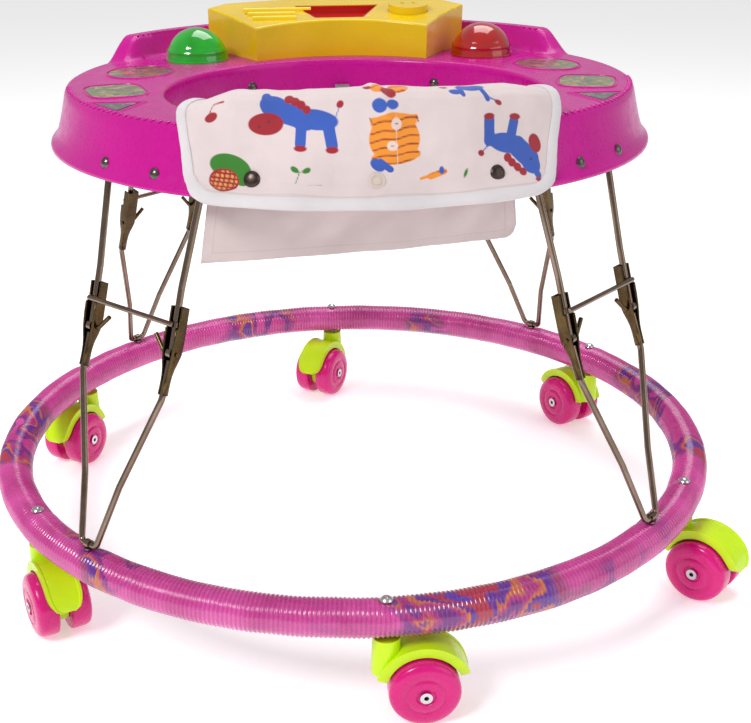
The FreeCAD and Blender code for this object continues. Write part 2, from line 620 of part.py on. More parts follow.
def panel_toys():
    """The red scoop, the button with its two dots, and the sound parts under the panel."""
    wall, depth = size("scoop_wall"), size("scoop_depth")
    outer = solid_feature(scoop_prism(0, depth), panel)
    inner = solid_feature(scoop_prism(-wall, depth - wall), panel)
    lid = box(300, 300, 20, panel.multiply(at(-150, -50, -0.4)))
    node("toy_scoop", cut(outer, inner, lid))
    x, y, rise = size("knob_x"), size("knob_y"), size("knob_rise")
    button = cylinder("knob_radius", "2 * knob_rise", panel.multiply(at(x, y, -rise)))
    stem = cylinder("stem_radius", "stem_length",
                    panel.multiply(at(x, y, -size("stem_length + knob_rise - 1"))))
    dots = [cylinder("dot_radius", 2 * rise, panel.multiply(at(x + side * size("dot_spread"), y, rise - 1.5)))
            for side in (-1, 1)]
    node("toy_button", cut(fuse(button, stem), *dots))
    low, middle = size("tray_top + 1"), size("panel_front + panel_bow + toys_row / 2 + 3")
    cells = [cylinder("cell_radius", "cell_length", at(-size("cell_length / 2"), middle + row * size(
        "2 * cell_radius + 1.4"), low + size("cell_radius"), Y, 90)) for row in (-1, 0, 1)]
    node("battery_cells", group(*cells))
    frame = cylinder("speaker_radius", 3, at(-size("speaker_x"), middle, low))
    magnet = cylinder("speaker_radius / 2", 5, at(-size("speaker_x"), middle, low + 2))
    node("speaker", fuse(frame, magnet))
    node("circuit_board", box("board_length", "board_width", "board_thick", at(
        size("cell_length / 2 + 6"), middle - size("board_width / 2"), low)))


def stickers():
    """Thin labels on the tray beside the opening: an oval, a rounded oblong and a triangle a side."""
    labels = []
    thick = V(0, 0, size("label_height"))
    length, width = size("oval_length"), size("oval_width")
    oval = Part.Face(Part.Wire(Part.Ellipse(V(), length / 2, width / 2).toShape())).extrude(thick)
    length, width = size("oblong_length"), size("oblong_width")
    oblong = Part.makeBox(length, width, thick.z, V(-length / 2, -width / 2, 0))
    oblong = oblong.makeFillet(size("oblong_corner"), [e for e in oblong.Edges if e.BoundBox.ZLength > 0.1])
    length, width = size("triangle_length"), size("triangle_width")
    corners = [V(-length / 2, -width / 2, 0), V(length / 2, -width / 2, 0), V(0, width / 2, 0)]
    three = Part.Face(Part.makePolygon(corners + corners[:1])).extrude(thick)
    for side in (-1, 1):
        for shape, name in ((oval, "oval"), (oblong, "oblong"), (three, "triangle")):
            x, y = size(name + "_x"), size(name + "_y")
            turn = math.degrees(math.atan2(y, x)) + 90
            labels.append(solid_feature(shape, at(side * x, y, size("tray_top + foot_gap"), Z, side * turn)))
    node("tray_stickers", group(*labels))


# ---- seat cloth -------------------------------------------------------------------------------
def seat():
    """A sling in the opening: a hem round the top, and a bowl of cloth with two leg holes."""
    top, inner = "opening_radius - seat_gap", "opening_radius - seat_gap - cloth"
    hem = "seat_top - hem_height"
    bowl = [("0", "0")] + [("seat_" + part, part + "_rise") for part in ("flat", "low", "middle", "high")]
    outline = [(r, "seat_bottom + " + h) for r, h in bowl] + [(top, hem), (inner, hem)]
    outline += [(r if r == "0" else r + " - 0.8 * cloth", "seat_bottom + cloth + " + h)
                for r, h in reversed(bowl)]
    holes = [cylinder("leg_hole", 200, at(side * size("leg_hole_x"), 170, size("leg_hole_z"), X, 90))
             for side in (-1, 1)]
    node("seat_sling", cut(placed(turned(outline), opening), *holes))
    node("seat_hem", turned([(top, hem), (top, "seat_top"), (inner, "seat_top"), (inner, hem)]), opening)
    toward = opening.multiply(at(turn=90)).multiply(at(size(inner) - 3, -size("clip_width / 2")))
    tab = box("clip_wall", "clip_width", 14, toward.multiply(at(z=size("seat_top - 8"))))
    hook = box(3.6, "clip_width", "clip_wall", toward.multiply(at(z=size("seat_top + 4"))))
    node("seat_clip", fuse(tab, hook))


def flap():
    """The printed flap that folds over the raised back of the tray and snaps to its own seam."""
    g = "flap_gap"
    inside = [("lip_radius + " + g, "flap_bottom"), ("lip_radius + " + g, "skirt_bottom + lip_height + 0.5"),
              ("skirt_low + 0.3 + " + g, "skirt_bottom + lip_height + lip_slope + 0.8"),
              ("skirt_high + " + g, "tray_top - edge_round"),
              ("hump_out + 1 + " + g, "tray_top + hump_height - 3"),
              ("hump_out - 3", "tray_top + hump_height + " + g),
              ("hump_in - 1", "tray_top + hump_height + " + g)]
    outside = [("hump_in - 1", "tray_top + hump_height + flap_cloth + " + g),
               ("hump_out - 2", "tray_top + hump_height + flap_cloth + " + g),
               ("hump_out + 1 + flap_cloth + " + g, "tray_top + hump_height - 2"),
               ("skirt_high + flap_cloth + " + g, "tray_top - edge_round"),
               ("skirt_low + 0.3 + flap_cloth + " + g, "skirt_bottom + lip_height + lip_slope + 1.5"),
               ("lip_radius + flap_cloth + " + g, "skirt_bottom + lip_height + 1"),
               ("lip_radius + flap_cloth + " + g, "flap_bottom")]
    cloth = sector(inside + outside, -90, size("flap_half"))
    tilt = math.degrees(math.atan2(size("skirt_low - skirt_high"), 32))
    face = size("skirt_low + flap_cloth + flap_gap - 0.26 * (snap_height - skirt_bottom - 6)")
    spots = [at(turn=-90 + a).multiply(at(face - 0.6, 0, size("snap_height"), Y, 90 - tilt))
             for a in (-20, 0, 20)]
    holes = [cylinder("snap_radius + 0.05", 12, p.multiply(at(z=-5))) for p in spots]
    node("back_flap", cut(cloth, *holes))
    snaps = [placed(fuse(cylinder("snap_radius", 1.6, at(z=-1)), placed(domed_head("snap_radius", 1.6), at(
        z=0.6))), p) for p in spots]
    node("flap_snaps", group(*snaps))


ring()
caster_bolts()
eye_bolts()
casters()
legs()
tray_shell()
tray_screws()
leg_saddles()
domes()
panel_shell()
panel_toys()
stickers()
seat()
flap()

doc.recompute()
failed = [obj.Name for obj in doc.Objects if "Invalid" in obj.State or "Error" in obj.State]
if failed:
    raise RuntimeError("failed: %s" % failed)
os.makedirs("parts", exist_ok=True)
for obj in nodes:
    if obj.Shape.isNull() or not obj.Shape.isValid() or not obj.Shape.Solids:
        raise RuntimeError("%s has no valid solid" % obj.Label)
    obj.Shape.exportStep("parts/%s.step" % obj.Label)
    print(obj.Label, len(obj.Shape.Solids), round(obj.Shape.Volume / 1000, 2), "cm3")
print(len(nodes), "nodes; lower", round(lower_length, 2), "upper", round(upper_length, 2))
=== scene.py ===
import math
import bmesh
import bpy
import numpy as np
from mathutils import Matrix, Vector, noise


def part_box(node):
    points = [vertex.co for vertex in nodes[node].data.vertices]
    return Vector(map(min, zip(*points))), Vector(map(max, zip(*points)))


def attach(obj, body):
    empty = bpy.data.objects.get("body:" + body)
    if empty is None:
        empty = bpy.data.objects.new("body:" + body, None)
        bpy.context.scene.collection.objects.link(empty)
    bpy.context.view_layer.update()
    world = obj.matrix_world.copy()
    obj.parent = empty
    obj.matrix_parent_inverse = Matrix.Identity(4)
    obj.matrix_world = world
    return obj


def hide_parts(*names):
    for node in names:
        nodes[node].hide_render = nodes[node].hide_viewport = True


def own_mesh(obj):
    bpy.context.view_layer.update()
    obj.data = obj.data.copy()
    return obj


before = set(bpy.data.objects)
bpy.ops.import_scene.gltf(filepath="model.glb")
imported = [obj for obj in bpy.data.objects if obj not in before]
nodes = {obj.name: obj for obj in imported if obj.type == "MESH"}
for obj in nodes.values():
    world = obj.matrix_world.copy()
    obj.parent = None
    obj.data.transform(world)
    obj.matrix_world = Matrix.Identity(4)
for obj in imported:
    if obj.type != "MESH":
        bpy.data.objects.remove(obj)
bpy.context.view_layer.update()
mm = 0.001
turn = 2 * math.pi
casterCount = 6
legCount = 4
print("frame loaded:", len(nodes), "nodes")


def finishPiece(name, bm, material, body, sharp=40, thickness=0, offset=-1, bevel=0):
    bmesh.ops.remove_doubles(bm, verts=bm.verts, dist=0.01 * mm)
    bmesh.ops.recalc_face_normals(bm, faces=bm.faces)
    mesh = bpy.data.meshes.new(name)
    bm.to_mesh(mesh)
    bm.free()
    mesh.materials.append(material)
    for face in mesh.polygons:
        face.use_smooth = True
    mesh.set_sharp_from_angle(angle=math.radians(sharp))
    piece = bpy.data.objects.new(name, mesh)
    bpy.context.scene.collection.objects.link(piece)
    if thickness:
        wall = piece.modifiers.new("wall", "SOLIDIFY")
        wall.thickness, wall.offset, wall.use_even_offset = thickness, offset, False
    if bevel:
        edge = piece.modifiers.new("edge", "BEVEL")
        edge.width, edge.segments, edge.limit_method = bevel, 2, "ANGLE"
    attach(piece, body)
    return piece


def spinOutline(bm, outline, steps, centre=(0, 0, 0), close=False):  # outline holds (radius, height) in mm
    verts = [bm.verts.new(Vector(centre) + Vector((r * mm, 0, h * mm))) for r, h in outline]
    edges = [bm.edges.new(pair) for pair in zip(verts, verts[1:])]
    if close:
        edges.append(bm.edges.new((verts[-1], verts[0])))
    bmesh.ops.spin(bm, geom=verts + edges, cent=centre, axis=(0, 0, 1), dvec=(0, 0, 0), angle=turn,
                   steps=steps, use_merge=True)


def extendLoop(bm, loop, place):  # place gives each new point from its old one
    made = bmesh.ops.extrude_edge_only(bm, edges=loop)["geom"]
    fresh = [g for g in made if isinstance(g, bmesh.types.BMVert)]
    for vert in fresh:
        vert.co = place(vert.co.copy())
    inside = set(fresh)
    return [g for g in made if isinstance(g, bmesh.types.BMEdge) and set(g.verts) <= inside]


def joinRows(bm, rows, first=0):  # first is 1 where the rows are open
    for a, b in zip(rows, rows[1:]):
        for i in range(first, len(a)):
            bm.faces.new((a[i - 1], a[i], b[i], b[i - 1]))


def smooth(value, low, high):
    share = min(1, max(0, (value - low) / (high - low)))
    return share * share * (3 - 2 * share)


def shaderOf(material):
    return material.node_tree.nodes["Principled BSDF"].inputs


def startMaterial(name, colour, roughness, metallic=0.0, coat=0.0):
    material = bpy.data.materials.new(name)
    material.use_nodes = True
    settings = {"Base Color": (*colour, 1), "Roughness": roughness, "Metallic": metallic, "Coat Weight": coat,
                "Coat Roughness": 0.1}
    for socket, value in settings.items():
        shaderOf(material)[socket].default_value = value
    return material


def addNode(material, kind, inputs=None, **settings):
    made = material.node_tree.nodes.new("ShaderNode" + kind)
    for key, value in settings.items():
        setattr(made, key, value)
    for key, value in (inputs or {}).items():
        if isinstance(value, bpy.types.NodeSocket):
            material.node_tree.links.new(value, made.inputs[key])
        else:
            made.inputs[key].default_value = value
    return made.outputs


def toShader(material, socket, output):
    material.node_tree.links.new(output, shaderOf(material)[socket])


def objectPoint(material, scale=(1, 1, 1)):
    point = addNode(material, "TexCoord")["Object"]
    return addNode(material, "Mapping", {"Vector": point, "Scale": scale})["Vector"]


def noiseAt(material, point, scale, detail=3.0, rough=0.5, distortion=0.0):
    return addNode(material, "TexNoise", {"Vector": point, "Scale": scale, "Detail": detail,
                                          "Roughness": rough, "Distortion": distortion})["Fac"]


def step(material, operation, a, b=0.0):
    return addNode(material, "Math", {0: a, 1: b}, operation=operation)["Value"]


def spread(material, value, low, high, to=(0.0, 1.0)):
    return addNode(material, "MapRange", {"Value": value, "From Min": low, "From Max": high,
                                          "To Min": to[0], "To Max": to[1]})["Result"]


def mixed(material, factor, a, b):
    def colour(value):
        return value if isinstance(value, bpy.types.NodeSocket) else (*value, 1)
    return addNode(material, "Mix", {0: factor, 6: colour(a), 7: colour(b)}, data_type="RGBA")[2]


def bumped(material, height, strength, distance):
    values = {"Height": height, "Strength": strength, "Distance": distance}
    toShader(material, "Normal", addNode(material, "Bump", values)["Normal"])


def tinted(colour, factor):
    return tuple(min(1.0, c * factor) for c in colour)


def mouldedPlastic(name, colour, roughness=0.22, coat=0.5):
    material = startMaterial(name, colour, roughness, coat=coat)
    shaderOf(material)["Specular IOR Level"].default_value = 0.25
    point = objectPoint(material)
    cloud = spread(material, noiseAt(material, point, 22.0, 4.0), 0.3, 0.7)
    toShader(material, "Base Color", mixed(material, cloud, tinted(colour, 0.93), tinted(colour, 1.05)))
    scuffs = spread(material, noiseAt(material, point, 160.0, 5.0, 0.7), 0.35, 0.75,
                    (roughness * 0.8, roughness * 1.7))
    toShader(material, "Roughness", scuffs)
    bumped(material, noiseAt(material, point, 700.0, 2.0), 0.12, 0.0003)
    return material


def platedSteel(name, colour, roughness=0.3, patina=(0.5, 0.5, 0.5), patches=60.0):
    material = startMaterial(name, colour, roughness, metallic=1.0)
    point = objectPoint(material)
    cloud = spread(material, noiseAt(material, point, patches, 5.0, 0.65), 0.35, 0.7)
    toShader(material, "Base Color", mixed(material, cloud, colour, patina))
    lines = noiseAt(material, objectPoint(material), 500.0, 3.0, 0.6)
    toShader(material, "Roughness", spread(material, lines, 0.3, 0.7, (roughness * 0.7, roughness * 1.5)))
    bumped(material, lines, 0.06, 0.0001)
    return material


def sleeveFilm():  # ribbed film with sparse swirls under a glossy skin, and painted shade in its rib grooves
    material = startMaterial("sleeveFilm", (0.6, 0.04, 0.3), 0.22, coat=0.8)
    point = objectPoint(material)
    colour = mixed(material, spread(material, noiseAt(material, point, 26.0, 3.0), 0.3, 0.7),
                   (0.50, 0.02, 0.22), (0.78, 0.085, 0.42))
    where = spread(material, noiseAt(material, point, 8.5, 1.0), 0.53, 0.58)
    swirl = noiseAt(material, point, 26.0, 1.5, 0.45, 0.9)
    bands = ((0.42, 0.45, (0.16, 0.012, 0.22)), (0.49, 0.51, (0.42, 0.02, 0.20)),
             (0.53, 0.55, (0.62, 0.16, 0.03)), (0.565, 0.58, (0.10, 0.015, 0.30)),
             (0.62, 0.64, (0.45, 0.02, 0.04)), (0.67, 0.69, (0.08, 0.03, 0.40)))
    for low, high, band in bands:
        amount = step(material, "MULTIPLY", spread(material, swirl, low, high), where)
        colour = mixed(material, amount, colour, band)
    # painted shade: the film is darkened toward deep magenta in the troughs between its ribs
    rib = addNode(material, "Attribute", attribute_name="rib")["Fac"]
    colour = mixed(material, spread(material, rib, -1, 0.6, (0.45, 0.0)), colour, (0.22, 0.008, 0.12))
    toShader(material, "Base Color", colour)
    crease = noiseAt(material, objectPoint(material, (1, 1, 2)), 130.0, 4.0, 0.6, 0.6)
    toShader(material, "Roughness", spread(material, crease, 0.3, 0.7, (0.12, 0.38)))
    bumped(material, crease, 0.35, 0.0008)
    return material


def lensPlastic(name, colour):
    material = startMaterial(name, colour, 0.08, coat=1.0)
    shaderOf(material)["Transmission Weight"].default_value = 0.12
    shaderOf(material)["IOR"].default_value = 1.46
    point = objectPoint(material)
    cloud = spread(material, noiseAt(material, point, 45.0), 0.3, 0.7)
    toShader(material, "Base Color", mixed(material, cloud, tinted(colour, 0.7), tinted(colour, 1.25)))
    bumped(material, noiseAt(material, point, 300.0), 0.1, 0.0003)
    return material


def wovenCloth(name, colour, prints=(), stitched=False):  # weave in the sheet's own millimetres
    material = startMaterial(name, colour, 0.85)
    shaderOf(material)["Sheen Weight"].default_value = 0.25
    sheetPoint = addNode(material, "Attribute", attribute_name="cloth")["Vector"]
    threads = []
    for direction in ("X", "Y"):
        threads.append(addNode(material, "TexWave", {"Vector": sheetPoint, "Scale": 0.62, "Distortion": 0.6,
                                                     "Detail Scale": 0.4}, bands_direction=direction)["Fac"])
    weave = step(material, "MULTIPLY", *threads)
    cloud = spread(material, noiseAt(material, objectPoint(material), 25.0, 4.0), 0.3, 0.7)
    shade = mixed(material, cloud, tinted(colour, 0.9), tinted(colour, 1.04))
    for layer, inkColour in prints:
        depth = addNode(material, "Attribute", attribute_name=layer)["Fac"]
        ink = mixed(material, cloud, tinted(inkColour, 0.85), tinted(inkColour, 1.1))
        shade = mixed(material, spread(material, depth, 0.3, -0.3), shade, ink)
    if stitched:
        edge = addNode(material, "Attribute", attribute_name="hem")["Fac"]
        away = step(material, "ABSOLUTE", step(material, "SUBTRACT", edge, 7.0))
        shade = mixed(material, spread(material, away, 0.7, 0.2, (0, 0.2)), shade, tinted(colour, 0.5))
    toShader(material, "Base Color", shade)
    bumped(material, weave, 0.25, 0.0003)
    return material


trayPink = mouldedPlastic("trayMagenta", (0.52, 0.001, 0.25), 0.26, 0.16)
wheelPink = mouldedPlastic("wheelMagenta", (0.66, 0.003, 0.19), 0.24, 0.4)
hoodLime = mouldedPlastic("hoodLime", (0.58, 0.86, 0.006), 0.3, 0.3)
panelYellow = mouldedPlastic("panelYellow", (0.80, 0.54, 0.004), 0.2, 0.4)
scoopRed = mouldedPlastic("scoopRed", (0.50, 0.012, 0.010), 0.16, 0.6)
zincSteel = platedSteel("zincSteel", (0.72, 0.72, 0.72), 0.2, (0.5, 0.5, 0.52))
tubeSteel = platedSteel("tubeSteel", (0.55, 0.55, 0.55), 0.35)
wireBronze = platedSteel("wireBronze", (0.27, 0.20, 0.155), 0.15, (0.17, 0.12, 0.085), 30.0)
sheetBronze = platedSteel("sheetBronze", (0.13, 0.085, 0.035), 0.24, (0.055, 0.035, 0.02), 45.0)
screwSteel = platedSteel("screwSteel", (0.20, 0.17, 0.16), 0.22, (0.07, 0.06, 0.06), 300.0)
snapSteel = platedSteel("snapSteel", (0.10, 0.07, 0.06), 0.3, (0.05, 0.04, 0.04), 300.0)
saddleSteel = platedSteel("saddleSteel", (0.45, 0.45, 0.46), 0.35)
greenLens = lensPlastic("greenLens", (0.003, 0.46, 0.012))
redLens = lensPlastic("redLens", (0.46, 0.004, 0.004))
lampWhite = mouldedPlastic("lampWhite", (0.8, 0.8, 0.75), 0.2, 0.3)
cellBlue = mouldedPlastic("cellBlue", (0.03, 0.06, 0.3), 0.3, 0.3)
speakerBlack = mouldedPlastic("speakerBlack", (0.02, 0.02, 0.02), 0.6, 0.0)
boardGreen = mouldedPlastic("boardGreen", (0.01, 0.12, 0.03), 0.4, 0.3)
film = sleeveFilm()
seatCloth = wovenCloth("seatCloth", (0.58, 0.51, 0.51))
bindingCloth = wovenCloth("bindingCloth", (0.66, 0.62, 0.64))
print("finishes ready")

nodeFinishes = {
    "ring_tube": tubeSteel, "ring_sleeve": film, "caster_bolts": zincSteel, "leg_eye_bolts": wireBronze,
    "caster_hood": hoodLime, "caster_wheels": wheelPink, "caster_axle": zincSteel, "lower_wire": wireBronze,
    "upper_wire": wireBronze, "lock_bar": wireBronze, "knee_channels": sheetBronze, "knee_pins": sheetBronze,
    "tray_shell": trayPink, "tray_screws": screwSteel, "leg_saddles": saddleSteel, "dome_green": greenLens,
    "dome_red": redLens, "dome_lamps": lampWhite, "toy_panel": panelYellow, "toy_scoop": scoopRed,
    "toy_button": panelYellow, "battery_cells": cellBlue, "speaker": speakerBlack,
    "circuit_board": boardGreen, "tray_stickers": lampWhite, "seat_sling": seatCloth, "seat_hem": seatCloth,
    "seat_clip": saddleSteel, "back_flap": seatCloth, "flap_snaps": snapSteel}
for name, part in nodes.items():
    family = name.rstrip("0123456789").rstrip("_")
    part.data.materials.clear()
    part.data.materials.append(nodeFinishes[family])


sleeve = {"radius": 290, "height": 77.3, "tube": 13.75, "ribs": 588, "ribDepth": 0.5, "perRib": 4,
          "sides": 20, "wrinkle": 0.5, "pinch": 1.0, "pinchReach": 5, "least": 12.95}


def makeSleeve():
    bm = bmesh.new()
    place = Matrix.Translation((sleeve["radius"] * mm, 0, sleeve["height"] * mm))
    place = place @ Matrix.Rotation(turn / 4, 4, "X")
    bmesh.ops.create_circle(bm, segments=sleeve["sides"], radius=sleeve["tube"] * mm, matrix=place)
    bmesh.ops.spin(bm, geom=bm.verts[:] + bm.edges[:], cent=(0, 0, 0), axis=(0, 0, 1), dvec=(0, 0, 0),
                   angle=turn, steps=sleeve["ribs"] * sleeve["perRib"], use_merge=True)
    legs = [turn * (0.125 + 0.25 * i) for i in range(legCount)]
    bolts = [turn * (0.25 + i / casterCount) for i in range(casterCount)]
    for vert in bm.verts:
        around = math.atan2(vert.co.y, vert.co.x)
        middle = Vector((math.cos(around), math.sin(around), 0)) * sleeve["radius"] * mm
        middle.z = sleeve["height"] * mm
        out = vert.co - middle
        upward = max(0, out.normalized().z)
        size = sleeve["tube"] + sleeve["ribDepth"] * math.cos(sleeve["ribs"] * around)
        size += sleeve["wrinkle"] * noise.noise(vert.co * 45) - sleeve["wrinkle"] * 0.5
        for spot in legs + bolts:
            away = abs((around - spot + turn / 2) % turn - turn / 2) * sleeve["radius"]
            size -= sleeve["pinch"] * upward * math.exp(-(away / sleeve["pinchReach"]) ** 2)
        vert.co = middle + out.normalized() * max(sleeve["least"], size) * mm
    piece = finishPiece("ringSleeve", bm, film, "root", sharp=70)
    # the rib phase, kept for the film's painted shade in the rib grooves
    ribs = [math.cos(sleeve["ribs"] * math.atan2(v.co.y, v.co.x)) for v in piece.data.vertices]
    piece.data.attributes.new("rib", "FLOAT", "POINT").data.foreach_set("value", ribs)
    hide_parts("ring_sleeve")


makeSleeve()
print("sleeve made")

hood = {"axleAcross": 25, "axleHeight": 25, "outer": 33.5, "inner": 26.4, "half": 13, "tipHalf": 5.5,
        "start": 12, "end": 164, "tipLength": 30, "lip": 0.8, "lipWidth": 2, "steps": 40, "web": 4,
        "hub": 16, "boss": 9.6, "bossTop": 62.4, "bossFoot": 34}
wheelOutline = [(3.1, 4.9), (23.4, 4.9), (24.6, 5.4), (25, 6.6), (25, 15.6), (24.7, 17.4), (23.7, 19.1),
                (21.6, 20.4), (18.2, 21.1), (14.6, 21.4), (13.9, 20.8), (13.1, 20.8), (12.4, 21.5),
                (9, 21.6), (7, 21.6), (6.2, 20.6), (3.1, 20.6)]


def casterPlace(index):  # from its bolt and the box of its axle
    azimuth = turn * (index / casterCount - 0.25)
    stem = Vector((math.cos(azimuth), math.sin(azimuth), 0)) * sleeve["radius"] * mm
    low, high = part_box("caster_axle_%d" % (index + 1))
    away = (low + high) / 2 - stem
    return Matrix.Translation(stem) @ Matrix.Rotation(math.atan2(away.y, away.x), 4, "Z")


def makeHood(index):
    bm = bmesh.new()
    half, lip = hood["half"], hood["lip"]
    edge = [(hood["inner"], -half), (hood["outer"], -half), (hood["outer"], -half + hood["lipWidth"]),
            (hood["outer"] - lip, -half + hood["lipWidth"] + lip), (hood["outer"] - lip * 0.6, 0),
            (hood["outer"] - lip, half - hood["lipWidth"] - lip), (hood["outer"], half - hood["lipWidth"]),
            (hood["outer"], half), (hood["inner"], half)]
    centre = Vector((hood["axleAcross"] * mm, 0, hood["axleHeight"] * mm))
    start = math.radians(hood["start"])
    direction = Vector((math.cos(start), 0, math.sin(start)))
    verts = [bm.verts.new(centre + direction * r * mm + Vector((0, y * mm, 0))) for r, y in edge]
    edges = [bm.edges.new((a, b)) for a, b in zip(verts, verts[1:] + verts[:1])]
    bmesh.ops.spin(bm, geom=verts + edges, cent=centre, axis=(0, -1, 0), dvec=(0, 0, 0),
                   angle=math.radians(hood["end"] - hood["start"]), steps=hood["steps"], use_merge=False)
    bmesh.ops.holes_fill(bm, edges=[e for e in bm.edges if e.is_boundary])
    for vert in bm.verts:  # the tip is rounded off toward its middle
        angle = math.degrees(math.atan2(vert.co.z - centre.z, vert.co.x - centre.x))
        share = min(1, max(0, (angle - hood["start"]) / hood["tipLength"]))
        narrow = hood["tipHalf"] / half
        vert.co.y *= narrow + (1 - narrow) * math.sqrt(1 - (1 - share) ** 2)
    across = Matrix.Translation(centre) @ Matrix.Rotation(turn / 4, 4, "X")
    for radius in (hood["inner"] + 1, hood["hub"]):
        disc = bmesh.ops.create_cone(bm, cap_ends=True, segments=56, radius1=radius * mm, radius2=radius * mm,
                                     depth=2 * hood["web"] * mm, matrix=across)["verts"]
        if radius > hood["hub"]:
            part = list({g for v in disc for g in (v, *v.link_edges, *v.link_faces)})
            cutEdges = bmesh.ops.bisect_plane(bm, geom=part, plane_co=centre + Vector((0, 0, 9 * mm)),
                                              plane_no=(0, 0, -1), clear_outer=True)["geom_cut"]
            bmesh.ops.holes_fill(bm, edges=[g for g in cutEdges if isinstance(g, bmesh.types.BMEdge)])
    foot, top = hood["bossFoot"] * mm, hood["bossTop"] * mm
    bmesh.ops.create_cone(bm, cap_ends=True, segments=40, radius1=(hood["boss"] + 1) * mm,
                          radius2=hood["boss"] * mm, depth=top - foot,
                          matrix=Matrix.Translation((0, 0, (top + foot) / 2)))
    bmesh.ops.transform(bm, matrix=casterPlace(index), verts=bm.verts)
    name = "caster_hood_%d" % (index + 1)
    piece = finishPiece("hoodCover%d" % (index + 1), bm, hoodLime, "caster_%d" % (index + 1),
                        sharp=35, bevel=0.7 * mm)
    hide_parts(name)


def makeWheels(index):
    bm = bmesh.new()
    spinOutline(bm, wheelOutline, 56, close=True)
    bmesh.ops.remove_doubles(bm, verts=bm.verts, dist=0.01 * mm)
    copied = bmesh.ops.duplicate(bm, geom=bm.verts[:] + bm.edges[:] + bm.faces[:])["geom"]
    bmesh.ops.rotate(bm, verts=[g for g in copied if isinstance(g, bmesh.types.BMVert)], cent=(0, 0, 0),
                     matrix=Matrix.Rotation(turn / 2, 3, "X"))
    centre = Matrix.Translation((hood["axleAcross"] * mm, 0, hood["axleHeight"] * mm))
    place = casterPlace(index) @ centre @ Matrix.Rotation(turn / 4, 4, "X")
    bmesh.ops.transform(bm, matrix=place, verts=bm.verts)
    piece = finishPiece("twinWheels%d" % (index + 1), bm, wheelPink, "wheels_%d" % (index + 1),
                        sharp=50)
    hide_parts("caster_wheels_%d" % (index + 1))


for index in range(casterCount):
    makeHood(index)
    makeWheels(index)
print("casters made")

knee = {"rho": 236, "height": 235, "topRho": 200, "topHeight": 352, "footRho": 290, "footHeight": 94.6,
        "half": 42.5, "flange": 5.0, "back": -4.9, "wide": 4.1, "narrow": 1.7, "round": 3.05, "open": 32,
        "perSide": 6, "sheet": 1.0, "stations": [(32, 0, "narrow"), (31.5, 0, "narrow"), (18.2, 0, "narrow"),
                                   (16.8, 0, "wide"), (8, 0, "wide"), (0, 0.12, "wide"), (-5, 0.4, "wide"),
                                   (-10, 0.72, "wide"), (-15, 0.93, "wide"), (-19, 1, "wide"),
                                   (-29.2, 1, "wide")]}


def kneeSection(share, reach):  # share goes from an open U, 0, to a closed ring, 1
    spots, count = [], knee["perSide"]
    for i in range(3 * count + 1):
        side = -1 if i < count else 1 if i > 2 * count else 0
        if side:
            along = (i / count) if side < 0 else 3 - i / count
            flatSpot = (reach + (knee["back"] - reach) * along, side * knee["flange"])
        else:
            flatSpot = (knee["back"], knee["flange"] * (2 * (i - count) / count - 1))
        angle = math.radians(-knee["open"] - (360 - 2 * knee["open"]) * i / (3 * count))
        closed = (knee["round"] * math.cos(angle), knee["round"] * math.sin(angle))
        spots.append(Vector(flatSpot).lerp(Vector(closed), share))
    return spots


def makeKnees(index):
    bm = bmesh.new()
    azimuth = turn * (0.25 * index - 0.375)
    up = Vector((knee["topRho"] - knee["rho"], 0, knee["topHeight"] - knee["height"])).normalized()
    down = Vector((knee["rho"] - knee["footRho"], 0, knee["height"] - knee["footHeight"])).normalized()
    pivot = Vector((knee["rho"], 0, knee["height"]))
    for side in (-1, 1):
        rows = []
        for along, share, reach in knee["stations"]:
            axis = up if along > 0 else down
            out = Vector((axis.z, 0, -axis.x))
            middle = pivot + axis * along + Vector((0, side * knee["half"], 0))
            rows.append([bm.verts.new((middle + out * x + Vector((0, y, 0))) * mm)
                         for x, y in kneeSection(share, knee[reach])])
        joinRows(bm, rows, 1)
    bmesh.ops.rotate(bm, verts=bm.verts, cent=(0, 0, 0), matrix=Matrix.Rotation(azimuth, 3, "Z"))
    piece = finishPiece("kneeChannels%d" % (index + 1), bm, sheetBronze, "lower_strut_%d" % (index + 1),
                        thickness=knee["sheet"] * mm, offset=0)
    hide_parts("knee_channels_%d" % (index + 1))


for index in range(legCount):
    makeKnees(index)
print("knees made")

tray = {"opening": 139, "shift": -54, "top": 384, "edge": 212, "rimFoot": 195, "rimIn": 203, "rimRise": 19,
        "rimFrom": 24, "rimSlope": 9, "humpIn": 193, "humpFull": 200, "humpRise": 15.5, "humpHalf": 29,
        "humpSlope": 6, "wall": 2.4, "segments": 360, "rows": 34}
skirtRows = [(213.6, 383.8, 1), (215.3, 383, 0.93), (216.6, 381.4, 0.8), (217.5, 379, 0.6),
             (218.2, 376, 0.36), (219.2, 372, 0.12), (220.8, 366, 0), (222.8, 359, 0), (225, 352.5, 0),
             (227.4, 348.2, 0), (229.6, 346.2, 0), (230.7, 345, 0), (231, 343.6, 0), (230.8, 342.2, 0)]
openingRows = [(140.6, 383.7), (139.6, 383), (139.1, 381.6), (139, 378), (139, 366), (139, 354),
               (139, 349.6), (139.4, 348.4), (140.6, 348)]


def liftAt(x, y):  # how far rim and raised back stand over the top
    radius, azimuth = math.hypot(x, y), math.degrees(math.atan2(y, x))
    ends = smooth(90 - abs(azimuth - 90), tray["rimFrom"], tray["rimFrom"] + tray["rimSlope"])
    rim = tray["rimRise"] * ends * smooth(radius, tray["rimFoot"], tray["rimIn"])
    back = smooth(tray["humpHalf"] - abs(azimuth + 90), 0, tray["humpSlope"])
    hump = tray["humpRise"] * back * smooth(radius, tray["humpIn"], tray["humpFull"])
    return max(rim, hump)


